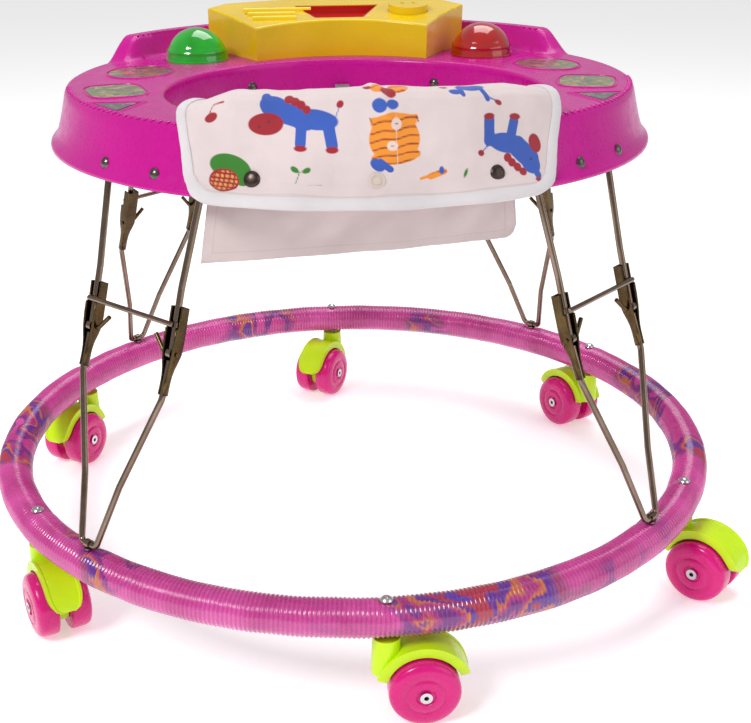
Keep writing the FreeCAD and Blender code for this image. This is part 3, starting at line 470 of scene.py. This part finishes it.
def makeTray():
    bm = bmesh.new()
    middle = Vector((0, tray["shift"] * mm, 0))
    outer = bmesh.ops.create_circle(bm, segments=tray["segments"], radius=tray["edge"] * mm)["verts"]
    inner = bmesh.ops.create_circle(bm, segments=tray["segments"], radius=(tray["opening"] + 3) * mm,
                                    matrix=Matrix.Translation(middle))["verts"]
    outerLoop = list({e for v in outer for e in v.link_edges})
    innerLoop = list({e for v in inner for e in v.link_edges})
    spokes = bmesh.ops.bridge_loops(bm, edges=outerLoop + innerLoop)["edges"]
    bmesh.ops.subdivide_edges(bm, edges=spokes, cuts=tray["rows"])
    for vert in bm.verts:
        vert.co.z = (tray["top"] + liftAt(vert.co.x / mm, vert.co.y / mm)) * mm
    for radius, height, share in skirtRows:
        def outward(spot, radius=radius, height=height, share=share):
            flat = Vector((spot.x, spot.y, 0)).normalized() * radius
            lift = liftAt(*(flat.normalized() * tray["edge"]).xy)
            return Vector((flat.x, flat.y, height + lift * share)) * mm
        outerLoop = extendLoop(bm, outerLoop, outward)
    for radius, height in openingRows:
        def inward(spot, radius=radius, height=height):
            flat = Vector((spot.x, spot.y - middle.y, 0)).normalized() * radius * mm
            return Vector((flat.x, flat.y + middle.y, height * mm))
        innerLoop = extendLoop(bm, innerLoop, inward)
    bmesh.ops.recalc_face_normals(bm, faces=bm.faces)
    if sum(f.normal.z for f in bm.faces) < 0:
        bmesh.ops.reverse_faces(bm, faces=bm.faces)
    piece = finishPiece("trayMoulding", bm, trayPink, "tray", sharp=60,
                        thickness=tray["wall"] * mm)
    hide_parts("tray_shell")


beads = {"edgeRadius": 213.5, "edgeHeight": 383.6, "edgeFrom": -172, "edgeTo": -8, "bandRadius": 204.5,
         "bandHeight": 402.4, "bandFrom": 33, "bandTo": 147, "pitch": 6.6, "size": 2.3,
         "stretch": (1.1, 0.95, 0.45)}


def makeBeads():  # knurled rows along the edge and inside the rim
    bm = bmesh.new()
    for kind in ("edge", "band"):
        radius, height = beads[kind + "Radius"], beads[kind + "Height"]
        first, last = beads[kind + "From"], beads[kind + "To"]
        count = int(math.radians(last - first) * radius / beads["pitch"])
        for i in range(count + 1):
            azimuth = first + (last - first) * i / count
            if kind == "edge" and abs(azimuth + 90) < tray["humpHalf"]:
                continue
            place = Matrix.Rotation(math.radians(azimuth), 4, "Z") @ Matrix.Translation(
                (radius * mm, 0, height * mm)) @ Matrix.Diagonal((*beads["stretch"], 1))
            bmesh.ops.create_uvsphere(bm, u_segments=10, v_segments=6, radius=beads["size"] * mm,
                                      matrix=place)
    finishPiece("trayBeads", bm, trayPink, "tray", sharp=80)


makeTray()
makeBeads()
print("tray made")

dome = {"radius": 26, "foot": 383.9, "bandLow": 7.5, "bandHigh": 9.8, "band": 0.8, "steps": 64, "arc": 26}


def makeDome(node, material):
    low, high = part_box(node)
    centre = Vector(((low.x + high.x) / 2, (low.y + high.y) / 2, 0))
    tall = high.z / mm - dome["foot"]
    outline = [(dome["radius"] + 0.4, dome["foot"]), (dome["radius"] + 0.4, dome["foot"] + 1.1)]
    for i in range(dome["arc"] + 1):
        angle = turn / 4 * i / dome["arc"]
        radius, height = dome["radius"] * math.cos(angle), tall * math.sin(angle)
        if height < 1.4:
            continue
        raised = dome["band"] if dome["bandLow"] < height < dome["bandHigh"] else 0
        outline.append((max(0.01, radius + raised), dome["foot"] + height))
    bm = bmesh.new()
    spinOutline(bm, outline, dome["steps"], centre=centre)
    piece = finishPiece("cover" + node.title().replace("_", ""), bm, material, "tray", sharp=28)
    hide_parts(node)


makeDome("dome_green", greenLens)
makeDome("dome_red", redLens)


def foilSticker(name, ground, inks, scale):
    material = startMaterial(name, ground, 0.25, coat=0.6)
    point = objectPoint(material)
    colour = mixed(material, spread(material, noiseAt(material, point, 60.0, 4.0), 0.35, 0.65),
                   tinted(ground, 0.7), tinted(ground, 1.2))
    for i, ink in enumerate(inks):
        moved = {"Vector": point, "Location": (0.13 * i, 0.07 * i, 0)}
        shifted = addNode(material, "Mapping", moved)["Vector"]
        amount = spread(material, noiseAt(material, shifted, scale, 2.0, 0.5, 0.8), 0.57, 0.59)
        colour = mixed(material, amount, colour, ink)
    toShader(material, "Base Color", colour)
    bumped(material, noiseAt(material, point, 220.0), 0.1, 0.0003)
    return material


stickerInks = {
    "ovalFoil": ((0.16, 0.13, 0.02), ((0.08, 0.22, 0.03), (0.42, 0.20, 0.02), (0.04, 0.05, 0.03)), 95.0),
    "oblongFoil": ((0.10, 0.16, 0.03), ((0.30, 0.20, 0.02), (0.03, 0.07, 0.05), (0.45, 0.30, 0.08)), 110.0),
    "triangleFoil": ((0.02, 0.02, 0.03), ((0.12, 0.20, 0.04), (0.30, 0.10, 0.12)), 130.0)}
labels = {
    "oval": {"x": 164, "y": 34, "length": 58, "width": 48, "corners": 40, "power": 2.0},
    "oblong": {"x": 175, "y": -51, "length": 52, "width": 40, "corners": 48, "power": 3.6},
    "triangle": {"x": 165, "y": -108, "length": 33, "width": 25, "corners": 3}}


def labelSpots(label, grow=0.0):  # a label's outline about its middle, grown in mm
    spots = []
    length, width = label["length"] / 2 + grow, label["width"] / 2 + grow
    if label["corners"] == 3:
        grow *= 1.7
        return [(-length - grow, -width), (length + grow, -width), (0, width + grow)]
    for i in range(label["corners"]):
        c, s = math.cos(turn * i / label["corners"]), math.sin(turn * i / label["corners"])
        scale = (abs(c) ** label["power"] + abs(s) ** label["power"]) ** (-1 / label["power"])
        spots.append((length * c * scale, width * s * scale))
    return spots


def makeLabels():  # foil labels, each in a fine raised outline
    outlines = bmesh.new()
    stickers = {}
    for kind, label in labels.items():
        stickers[kind] = bmesh.new()
        for side in (-1, 1):
            lean = side * (math.atan2(label["y"], label["x"]) + turn / 4)
            place = Matrix.Translation((side * label["x"] * mm, label["y"] * mm, 0))
            place = place @ Matrix.Rotation(lean, 4, "Z")
            bm = stickers[kind]
            rim = [bm.verts.new(place @ Vector((x * mm, y * mm, 0.3844))) for x, y in labelSpots(label)]
            bm.faces.new(rim)
            rows = []
            for grow, height in ((1.2, 384.0), (1.6, 384.8), (2.4, 384.9), (3.2, 384.0)):
                rows.append([outlines.verts.new(place @ Vector((x * mm, y * mm, height * mm)))
                             for x, y in labelSpots(label, grow)])
            joinRows(outlines, rows)
    for kind, bm in stickers.items():
        material = foilSticker(kind + "Foil", *stickerInks[kind + "Foil"])
        solid = bmesh.ops.extrude_face_region(bm, geom=bm.faces[:])["geom"]
        fresh = [g for g in solid if isinstance(g, bmesh.types.BMVert)]
        bmesh.ops.translate(bm, vec=(0, 0, -0.3 * mm), verts=fresh)
        piece = finishPiece(kind + "Labels", bm, material, "tray", sharp=30)
        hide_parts("tray_stickers")
    finishPiece("labelOutlines", outlines, trayPink, "tray", sharp=40)


makeLabels()
print("domes and labels made")

flap = {"half": 32.8, "wide": 248, "thick": 1.3, "inner": 385, "crown": 19.8, "corner": 20,
        "bulge": 3, "droopLeft": 9, "droopRight": 5,
        "path": [(188.6, 385), (189, 394), (190.4, 399.6), (193.2, 402.8), (197.4, 404.4), (204, 404.8),
                 (209.5, 403.7), (213.2, 400.6), (215.6, 395.5), (217.4, 388), (219.2, 378), (220.2, 371),
                 (223.4, 360), (226.2, 353.6), (229.5, 349.6), (232, 347.6), (233.0, 345.5), (233.2, 340.5)]}
pathSteps = [math.dist(a, b) for a, b in zip(flap["path"], flap["path"][1:])]
flap["length"] = sum(pathSteps)
crownAt = sum(pathSteps[:6])
snapAt = crownAt + 52
snapTurns = (-20, 0, 20)
folds = {"stand": 0.6, "broad": 2.0, "fine": 0.5, "wave": 1.6, "crease": 1.6, "dimple": 1.5,
         "dimpleReach": 260}

motifs = {  # in mm: ellipses are (u, v, half length, half width, turn), strokes (u, v, u, v, half width)
    "blue": {"colour": (0.03, 0.09, 0.42), "ellipses": [
        (-63, 8, 10, 6.5, 20), (-69, 2.5, 3, 3.6, -20), (-38, 15, 15, 5.6, 6), (2, 8.5, 4.5, 3.5, 10),
        (10, 8, 4, 2.6, 0), (0.5, 42, 5, 3.4, 35), (64, -3, 10, 3.6, 4), (52, 0.5, 4, 2.2, 10),
        (84, 34, 13, 6.2, 14), (101, 48, 6.6, 8.6, -25), (104, 57, 2.4, 3.4, 0), (39.5, 47, 1.6, 2.6, 0)],
        "strokes": [(-62, 10, -42, 15, 6), (-45.5, 18, -46, 29, 3.3), (-29.6, 16, -27, 30, 3.6),
                    (-25.5, 15, -22.6, 9, 0.45), (2, 40, 8, 45, 2), (71, 1, 73, 6.5, 1.6),
                    (56, -2, 57, 3, 1.6),
                    (72.3, 19, 71.6, 31, 3.6), (90.5, 21, 87, 31, 3.6), (92, 37, 101, 46, 6.8),
                    (71, 34, 67, 37.5, 0.5), (73, 5, 79, 8, 0.5)]},
    "orange": {"colour": (0.78, 0.26, 0.02), "ellipses": [
        (11, 26.5, 15.5, 14.5, 0), (11, 17, 14.5, 4.6, -3), (12.5, 37, 14, 5, -6), (15, -3, 7, 4.6, -10),
        (2, -1.5, 5.5, 3.4, 20)],
        "strokes": [(-2.5, 16, 24.5, 14.5, 1.5), (-1, 38, 24.5, 36, 2.2), (26, 51.5, 38, 48.5, 0.9),
                    (32, 50.5, 41, 47.8, 1.9)]},
    "green": {"colour": (0.03, 0.19, 0.015), "ellipses": [
        (-90, 45.5, 13.6, 8, 14), (-81, 51, 6, 6, 0), (-49, 45, 2.9, 1.7, 35), (-42, 45.5, 2.7, 1.7, -35),
        (54.5, 50, 1, 3.2, 28)], "strokes": [(-46, 47, -48.6, 55, 0.4), (-46, 47, -44, 45, 0.35)]},
    "red": {"colour": (0.32, 0.008, 0.02), "ellipses": [
        (-68, 18, 11.4, 6.6, -3), (-54, 3.5, 3, 2.6, 0), (-50, 5, 2.8, 2.6, 0), (-46, 7, 2.8, 2.6, 0),
        (-42.4, 9.6, 2.4, 2.4, 0), (-46, 31.8, 4, 1.9, 0), (-27, 32.6, 4, 2.1, 0), (-22, 7, 2.4, 2, -30),
        (-104.5, 15, 4.6, 3.4, -30), (8, 1.5, 5, 3.2, 15), (-5, -4, 3, 2, 30), (72.4, 16.6, 3.7, 2, 0),
        (91.4, 18.4, 4.3, 2, 8), (106, 36.5, 4.6, 6.4, -20), (84, 43, 2.8, 2.8, 0), (87, 46.6, 2.8, 2.8, 0),
        (90.5, 50, 2.8, 2.8, 0), (94, 53.5, 2.8, 2.8, 0), (65.8, 38.5, 2.2, 1.9, 30), (80, 9, 2.6, 1.6, 20),
        (46, -5, 3, 1.4, 0), (103, 60.5, 2.2, 1.6, 0), (-93, 54.5, 9.6, 8, 12)],
        "strokes": [(-106, 12, -104, 6, 0.5), (-104, 6, -97, 5.2, 0.6)]},
    "white": {"colour": (0.72, 0.55, 0.50), "ellipses": [(12, 18, 3.2, 3.2, 0), (9.5, 30.5, 3.4, 3, 0)],
              "strokes": [(11.6, 12, 12.4, 42, 0.25)]},
    "dark": {"colour": (0.05, 0.02, 0.02), "ellipses": [(-72, 19.5, 0.8, 1, 0), (-66, 16.5, 0.9, 0.9, 0),
                                                        (101.5, 46, 0.9, 0.9, 0)],
             "strokes": [(-64, 22.5, -60, 20, 0.25), (-41, 55.5, -33, 55, 0.3), (11.2, 18, 12.8, 18, 0.3),
                         (8.8, 30.5, 10.4, 30.5, 0.3), (-4, 14.5, -2.5, 17.5, 0.35),
                         (24.5, 14, 26, 17, 0.35)]}}
stripePitch, stripeHalf = 5.0, 0.62
basket = {"u": -93, "v": 54.5, "half": 9.6, "tall": 8, "pitch": 3.1, "square": 0.95}
paintOrder = ("orange", "stripe", "blue", "green", "red", "weave", "white", "dark")


def printDepths(u, v):  # signed mm to each printed colour, below 0 inside
    depths = {}
    for name, motif in motifs.items():
        depth = np.full(u.shape, 50.0)
        for cu, cv, a, b, degrees in motif["ellipses"]:
            c, s = math.cos(math.radians(degrees)), math.sin(math.radians(degrees))
            x, y = (u - cu) * c + (v - cv) * s, (v - cv) * c - (u - cu) * s
            depth = np.minimum(depth, (np.hypot(x / a, y / b) - 1) * min(a, b))
        for u1, v1, u2, v2, half in motif["strokes"]:
            along = ((u - u1) * (u2 - u1) + (v - v1) * (v2 - v1)) / ((u2 - u1) ** 2 + (v2 - v1) ** 2)
            along = np.clip(along, 0, 1)
            away = np.hypot(u - u1 - along * (u2 - u1), v - v1 - along * (v2 - v1))
            depth = np.minimum(depth, away - half)
        depths[name] = depth
    wavy = v + 0.12 * u + 0.5 * np.sin(u * 0.4)
    bars = np.abs((wavy + 60) % stripePitch - stripePitch / 2) - stripeHalf
    depths["stripe"] = np.maximum(depths["orange"] + 0.2, bars)
    squares = [np.abs((along + 400) % basket["pitch"] - basket["pitch"] / 2) for along in (u, v)]
    inside = np.hypot((u - basket["u"]) / basket["half"], (v - basket["v"]) / basket["tall"]) * basket["tall"]
    depths["weave"] = np.maximum(inside - basket["tall"] + 1, np.maximum(*squares) - basket["square"])
    return depths


def flapSpot(u, v, rise=0.0):  # u round from its middle, v down from its inner edge
    left = min(max(v, 0), flap["length"] - 0.01)
    for (r1, z1), (r2, z2), run in zip(flap["path"], flap["path"][1:], pathSteps):
        if left <= run:
            break
        left -= run
    share = left / run
    radius, height = r1 + (r2 - r1) * share, z1 + (z2 - z1) * share
    lift = flap["bulge"] * math.exp(-(u / 45) ** 2)
    lift -= flap["droopLeft"] * smooth(-u, 88, 126) + flap["droopRight"] * smooth(u, 92, 126)
    radius += rise * (z1 - z2) / run
    height += rise * (r2 - r1) / run + lift * max(0, (height - flap["inner"]) / flap["crown"])
    azimuth = -turn / 4 + math.radians(flap["half"]) * 2 * u / flap["wide"]
    return Vector((math.cos(azimuth) * radius, math.sin(azimuth) * radius, height)) * mm


def paintSheet(piece, spots, printed=None, edges=None):  # a sheet's own mm and printed colours
    data = piece.data
    flat = np.zeros((len(spots), 3))
    flat[:, :2] = spots
    data.attributes.new("cloth", "FLOAT_VECTOR", "POINT").data.foreach_set("vector", flat.ravel())
    if edges is not None:
        data.attributes.new("hem", "FLOAT", "POINT").data.foreach_set("value", np.array(edges, dtype=float))
    if printed is not None:
        for name, depth in printDepths(*printed).items():
            data.attributes.new("ink" + name.title(), "FLOAT", "POINT").data.foreach_set("value", depth)


inkColours = {"stripe": (0.30, 0.05, 0.015), "weave": (0.75, 0.35, 0.08)}
inkColours.update({name: motif["colour"] for name, motif in motifs.items()})
flapPrints = [("ink" + name.title(), inkColours[name]) for name in paintOrder]
flapCloth = wovenCloth("flapCloth", (0.68, 0.57, 0.57), flapPrints, stitched=True)


def wrinkle(u, v, seed, size=0.02):
    return noise.noise(Vector((u * size, v * size, seed)))


def flapHalf(v):  # wider over the crown, with rounded corners below
    half = flap["wide"] / 2 * (1.06 - 0.11 * smooth(v, crownAt, flap["length"]))
    past = min(1, max(0, v - flap["length"] + flap["corner"]) / flap["corner"])
    return half - flap["corner"] * (1 - math.sqrt(1 - past * past))


def flapRise(u, v):  # folds, a crease and the dimples round its snaps
    down = smooth(v, crownAt, flap["length"] - 20)
    rise = folds["stand"] + folds["broad"] * wrinkle(u, v * 0.5, 3, 0.03) * (0.35 + down)
    rise += folds["fine"] * wrinkle(u, v, 8, 0.1) + folds["wave"] * down * math.sin(u * 0.055 + 0.8) ** 2
    crease = math.exp(-((u - 2 - 0.35 * (v - crownAt)) / 3.5) ** 2)
    rise += folds["crease"] * crease * smooth(40 - abs(v - crownAt), 0, 30)
    for turnBy in snapTurns:
        away = (u - turnBy * flap["wide"] / (2 * flap["half"])) ** 2 + (v - snapAt) ** 2
        rise -= folds["dimple"] * math.exp(-away / folds["dimpleReach"]) * down
    return max(0.0, rise)


def makeFlap():
    bm = bmesh.new()
    columns, rows = 260, 100
    bmesh.ops.create_grid(bm, x_segments=columns, y_segments=rows, size=0.5)
    spots, edges = [], []
    for vert in bm.verts:
        s, t = vert.co.x, vert.co.y + 0.5
        v = t * flap["length"]
        u = s * 2 * flapHalf(v)
        spots.append((u, v))
        edges.append(min(flapHalf(v) - abs(u), flap["length"] - v))
    for vert, (u, v) in zip(bm.verts, spots):
        vert.co = flapSpot(u, v, flapRise(u, v))
    uv = np.array(spots)
    piece = finishPiece("backFlap", bm, flapCloth, "tray", sharp=180,
                        thickness=flap["thick"] * mm, offset=0)
    paintSheet(piece, uv, (uv[:, 0], uv[:, 1] - crownAt), edges)
    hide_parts("back_flap")
    return piece


backFlap = makeFlap()


def makeBinding():  # a folded tape round the flap's sides and bottom
    bm = bmesh.new()
    deep, reach = flap["length"], 1.1
    sides = list(np.arange(2, deep - flap["corner"], 2.5))
    sides += [deep - flap["corner"] * (1 - math.sin(a)) for a in np.linspace(0, turn / 4, 12)]
    route = [(-flapHalf(v), v) for v in sides]
    flat = flapHalf(deep)
    middle = list(np.arange(-flat + 2.5, flat - 1.5, 2.5))
    route += [(u, deep) for u in middle] + [(-u, v) for u, v in reversed(route)]
    section = [(-6.5, 1.5), (-6.2, 2.1), (-3, 2.3), (0, 2.2), (reach, 1.2), (reach, 0), (0, -1.4),
               (-6, -1.4)]
    rows = []
    for i, (u, v) in enumerate(route):
        before, after = route[max(0, i - 1)], route[min(len(route) - 1, i + 1)]
        du, dv = after[0] - before[0], after[1] - before[1]
        run = math.hypot(du, dv)
        across = (-dv / run, du / run)  # away from the sheet
        row = []
        for out, rise in section:
            pu, pv = u + across[0] * out, v + across[1] * out
            beyond = max(0, pv - deep + 0.02)
            spot = flapSpot(pu, pv - beyond, flapRise(pu, pv - beyond) + rise * 0.62 + 0.1)
            row.append(bm.verts.new(spot - Vector((0, 0, beyond * mm))))
        rows.append(row)
    joinRows(bm, rows[::-1])
    piece = finishPiece("flapBinding", bm, bindingCloth, "tray", sharp=70)
    spots = [(v.co.x / mm, v.co.z / mm) for v in piece.data.vertices]
    paintSheet(piece, spots)
    return piece


binding = makeBinding()


def makeSnaps():  # dark caps at the sides and a clear one in the middle
    clear = mouldedPlastic("clearSnap", (0.62, 0.52, 0.46), 0.15, 0.8)
    snaps = []
    for turnBy, material in zip(snapTurns, (snapSteel, clear, snapSteel)):
        u = turnBy * flap["wide"] / (2 * flap["half"])
        spot, outer = flapSpot(u, snapAt, 1.2), flapSpot(u, snapAt, 2.2)
        place = Matrix.Translation(spot) @ (outer - spot).to_track_quat("Z", "Y").to_matrix().to_4x4()
        outline = [(5.3, -0.6), (5.3, 0.2), (4.9, 0.9), (3.9, 1.5), (2.6, 1.9), (1.2, 2.1), (0.01, 2.15)]
        if material is clear:
            outline = [(5.3, -0.6), (5.3, 0.3), (4.7, 0.9), (4, 0.9), (3.6, 0.4), (2.6, 0.4), (2.2, 1),
                       (0.01, 1.2)]
        bm = bmesh.new()
        spinOutline(bm, outline, 40)
        bmesh.ops.transform(bm, matrix=place, verts=bm.verts)
        snaps.append(finishPiece("snapCap%d" % (len(snaps) + 1), bm, material, "tray", sharp=40))
        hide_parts("flap_snaps")
    return snaps


snaps = makeSnaps()
print("flap made")

seat = {"middle": -54, "topLeft": -104, "topRight": 92, "topRadius": 208, "topHeight": 352, "hemLeft": -114,
        "hemRight": 98, "hemY": -182, "lowLeft": 293, "lowRight": 304.6, "tall": 58, "thick": 1.2, "round": 9,
        "bow": 3, "wave": 1.6, "crease": 2.2, "belly": 1.2}


def panelSpot(across, down):  # across -1 to 1, down 0 to 1 at the hem
    share = (across + 1) / 2
    topX = seat["topLeft"] + (seat["topRight"] - seat["topLeft"]) * share
    top = Vector((topX, -math.sqrt(seat["topRadius"] ** 2 - topX ** 2), seat["topHeight"]))
    low = Vector((seat["hemLeft"] + (seat["hemRight"] - seat["hemLeft"]) * share, seat["hemY"],
                  seat["lowLeft"] + (seat["lowRight"] - seat["lowLeft"]) * share))
    rounding = max(0, abs(across) - 0.92) / 0.08
    low.z += seat["round"] * (1 - math.sqrt(1 - min(1, rounding) ** 2)) * (across > 0)
    low.y -= seat["bow"] * (1 - across ** 2)
    spot = top.lerp(low, down)
    sag = 4 * down * (1 - down)
    spot.y += seat["wave"] * math.sin(5 * across + 2.6 * down + 0.6) * sag
    spot.y += seat["crease"] * wrinkle(across * 90 + down * 30, down * 30, 4, 0.05) * (0.3 + sag)
    spot.y -= seat["belly"] * sag
    spot.z -= 1.6 * abs(wrinkle(across * 110, 0, 12, 0.02)) * down
    return spot * mm


def makeBackPanel():
    bm = bmesh.new()
    bmesh.ops.create_grid(bm, x_segments=150, y_segments=60, size=0.5)
    spots, edges = [], []
    wide, tall = seat["hemRight"] - seat["hemLeft"], seat["tall"]
    for vert in bm.verts:
        across, down = vert.co.x * 2, 0.5 - vert.co.y
        spots.append((across * wide / 2, down * tall))
        edges.append(min((1 - abs(across)) * wide / 2, (1 - down) * tall))
        vert.co = panelSpot(across, down)
    piece = finishPiece("seatBack", bm, stitchedCloth, "tray", sharp=180,
                        thickness=seat["thick"] * mm, offset=0)
    paintSheet(piece, spots, edges=edges)
    return piece


stitchedCloth = wovenCloth("stitchedCloth", (0.62, 0.52, 0.51), stitched=True)
backPanel = makeBackPanel()

sling = {"rings": [(137, 357), (137.2, 346), (129.4, 325), (114, 306), (93, 291), (76, 285), (58, 281.5),
                   (40, 280), (20, 279.5)], "steps": 120, "fine": 6, "hole": 40.5, "holeX": 62,
         "holeZ": 312, "thick": 1.4, "under": 356.5, "front": -10, "near": 6, "roll": 1.9, "rollSteps": 72,
         "rollSides": 8, "rollHigh": 345.5, "rollLow": 281}


def slingSpot(azimuth, ringAt):  # ringAt counts down the sling's rings
    low = min(int(ringAt), len(sling["rings"]) - 2)
    (r1, z1), (r2, z2) = sling["rings"][low:low + 2]
    share = ringAt - low
    radius, height = r1 + (r2 - r1) * share, z1 + (z2 - z1) * share
    sag = smooth(height, 350, 325)
    radius -= 0.7 * sag * (1 + math.sin(18 * azimuth + 0.8 * math.sin(5 * azimuth)))
    return Vector((math.cos(azimuth) * radius, seat["middle"] + math.sin(azimuth) * radius, height)) * mm


def makeSling():
    bm = bmesh.new()
    rows, fine = [], sling["fine"]
    for k in range((len(sling["rings"]) - 1) * fine + 1):
        rows.append([bm.verts.new(slingSpot(turn * i / sling["steps"], k / fine))
                     for i in range(sling["steps"])])
    joinRows(bm, rows)
    bm.faces.new(rows[-1])

    def inHole(spot):
        away = math.hypot(abs(spot.x) - sling["holeX"] * mm, spot.z - sling["holeZ"] * mm)
        return spot.y > seat["middle"] * mm and away < sling["hole"] * mm

    gone = [f for f in bm.faces if inHole(f.calc_center_median())]
    bmesh.ops.delete(bm, geom=gone, context="FACES")
    for vert in bm.verts:  # the cut edge is drawn onto the hole's circle
        if vert.is_boundary and vert.co.z < sling["under"] * mm and vert.co.y > sling["front"] * mm:
            side = 1 if vert.co.x > 0 else -1
            away = Vector((vert.co.x - side * sling["holeX"] * mm, 0, vert.co.z - sling["holeZ"] * mm))
            if abs(away.length - sling["hole"] * mm) < sling["near"] * mm:
                moved = away.normalized() * sling["hole"] * mm
                vert.co.x, vert.co.z = side * sling["holeX"] * mm + moved.x, sling["holeZ"] * mm + moved.z
    piece = finishPiece("seatSling", bm, seatCloth, "tray", sharp=180,
                        thickness=sling["thick"] * mm, offset=0)
    spots = [(math.atan2(v.co.x, -v.co.y - 0.054) * 110, v.co.z / mm) for v in piece.data.vertices]
    paintSheet(piece, spots)
    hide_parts("seat_sling", "seat_hem")
    return piece


def makeHoleBinding(side):  # a roll on the sling's own surface
    bm = bmesh.new()
    path, steps, sides = [], sling["rollSteps"], sling["rollSides"]
    for i in range(steps):
        angle = turn * i / steps
        x = side * sling["holeX"] + sling["hole"] * math.cos(angle)
        z = min(sling["rollHigh"], sling["holeZ"] + sling["hole"] * math.sin(angle))
        z = max(sling["rollLow"], z)
        for (r1, z1), (r2, z2) in zip(sling["rings"], sling["rings"][1:]):
            if z2 <= z <= z1:
                radius = r1 + (r2 - r1) * (z1 - z) / (z1 - z2)
        path.append(Vector((x, seat["middle"] + math.sqrt(max(1, radius ** 2 - x ** 2)), z)))
    rows = []
    for i, spot in enumerate(path):
        along = (path[(i + 1) % len(path)] - path[i - 1]).normalized()
        side1 = along.cross(Vector((0, 1, 0))).normalized()
        side2 = along.cross(side1)
        turned = [(math.cos(turn * j / sides), math.sin(turn * j / sides)) for j in range(sides)]
        rows.append([bm.verts.new((spot + (side1 * c + side2 * s) * sling["roll"]) * mm) for c, s in turned])
    joinRows(bm, (rows + rows[:1])[::-1])
    name = "legHoleBinding%d" % (1 + (side > 0))
    piece = finishPiece(name, bm, bindingCloth, "tray", sharp=180)
    paintSheet(piece, [(v.co.x / mm, v.co.z / mm) for v in piece.data.vertices])
    return piece


seatSling = makeSling()
bindings = [makeHoleBinding(side) for side in (-1, 1)]
for piece in (backPanel, seatSling, *bindings):
    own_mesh(piece)

view = {"spot": (-71.543, -953.504, 534.62), "yaw": -0.07681, "pitch": 0.44093, "roll": -0.00806,
        "lens": 57.2, "sensor": 36, "shiftX": 0.0281, "shiftY": 0.0836}
studio = {"floor": 14, "glow": 0.4, "sky": 0.42, "aim": 0.25,
          "lamps": (("key", (-1.3, -1.3, 1.9), 33, 0.7), ("fill", (1.7, -1.1, 1.1), 9, 1.6),
                    ("top", (0.3, 0.8, 2.2), 22, 1.4))}


def makeStage():
    bm = bmesh.new()
    bmesh.ops.create_grid(bm, x_segments=1, y_segments=1, size=studio["floor"])
    data = bpy.data.meshes.new("floor")
    bm.to_mesh(data)
    floor = bpy.data.objects.new("floor", data)
    bpy.context.scene.collection.objects.link(floor)
    pale = startMaterial("floorPale", (0.9, 0.9, 0.9), 0.9)
    shaderOf(pale)["Emission Color"].default_value = (1, 1, 1, 1)
    shaderOf(pale)["Emission Strength"].default_value = studio["glow"]
    floor.data.materials.append(pale)
    for name, spot, energy, size in studio["lamps"]:
        data = bpy.data.lights.new(name, "AREA")
        data.energy, data.size = energy, size
        lamp = bpy.data.objects.new(name, data)
        lamp.location = spot
        facing = Vector((0, 0, studio["aim"])) - Vector(spot)
        lamp.rotation_euler = facing.to_track_quat("-Z", "Y").to_euler()
        bpy.context.scene.collection.objects.link(lamp)
    world = bpy.data.worlds.new("studio")
    world.use_nodes = True
    world.node_tree.nodes["Background"].inputs["Color"].default_value = (1, 1, 1, 1)
    world.node_tree.nodes["Background"].inputs["Strength"].default_value = studio["sky"]
    bpy.context.scene.world = world
    bpy.context.scene.view_settings.view_transform = "Standard"


def makeCamera():
    data = bpy.data.cameras.new("camera")
    data.lens, data.sensor_width, data.sensor_fit = view["lens"], view["sensor"], "HORIZONTAL"
    data.shift_x, data.shift_y = view["shiftX"], view["shiftY"]
    camera = bpy.data.objects.new("camera", data)
    facing = Matrix.Rotation(view["yaw"], 4, "Z") @ Matrix.Rotation(turn / 4 - view["pitch"], 4, "X")
    facing = facing @ Matrix.Rotation(view["roll"], 4, "Z")
    camera.matrix_world = Matrix.Translation(Vector(view["spot"]) * mm) @ facing
    bpy.context.scene.collection.objects.link(camera)
    bpy.context.scene.camera = camera


makeStage()
makeCamera()
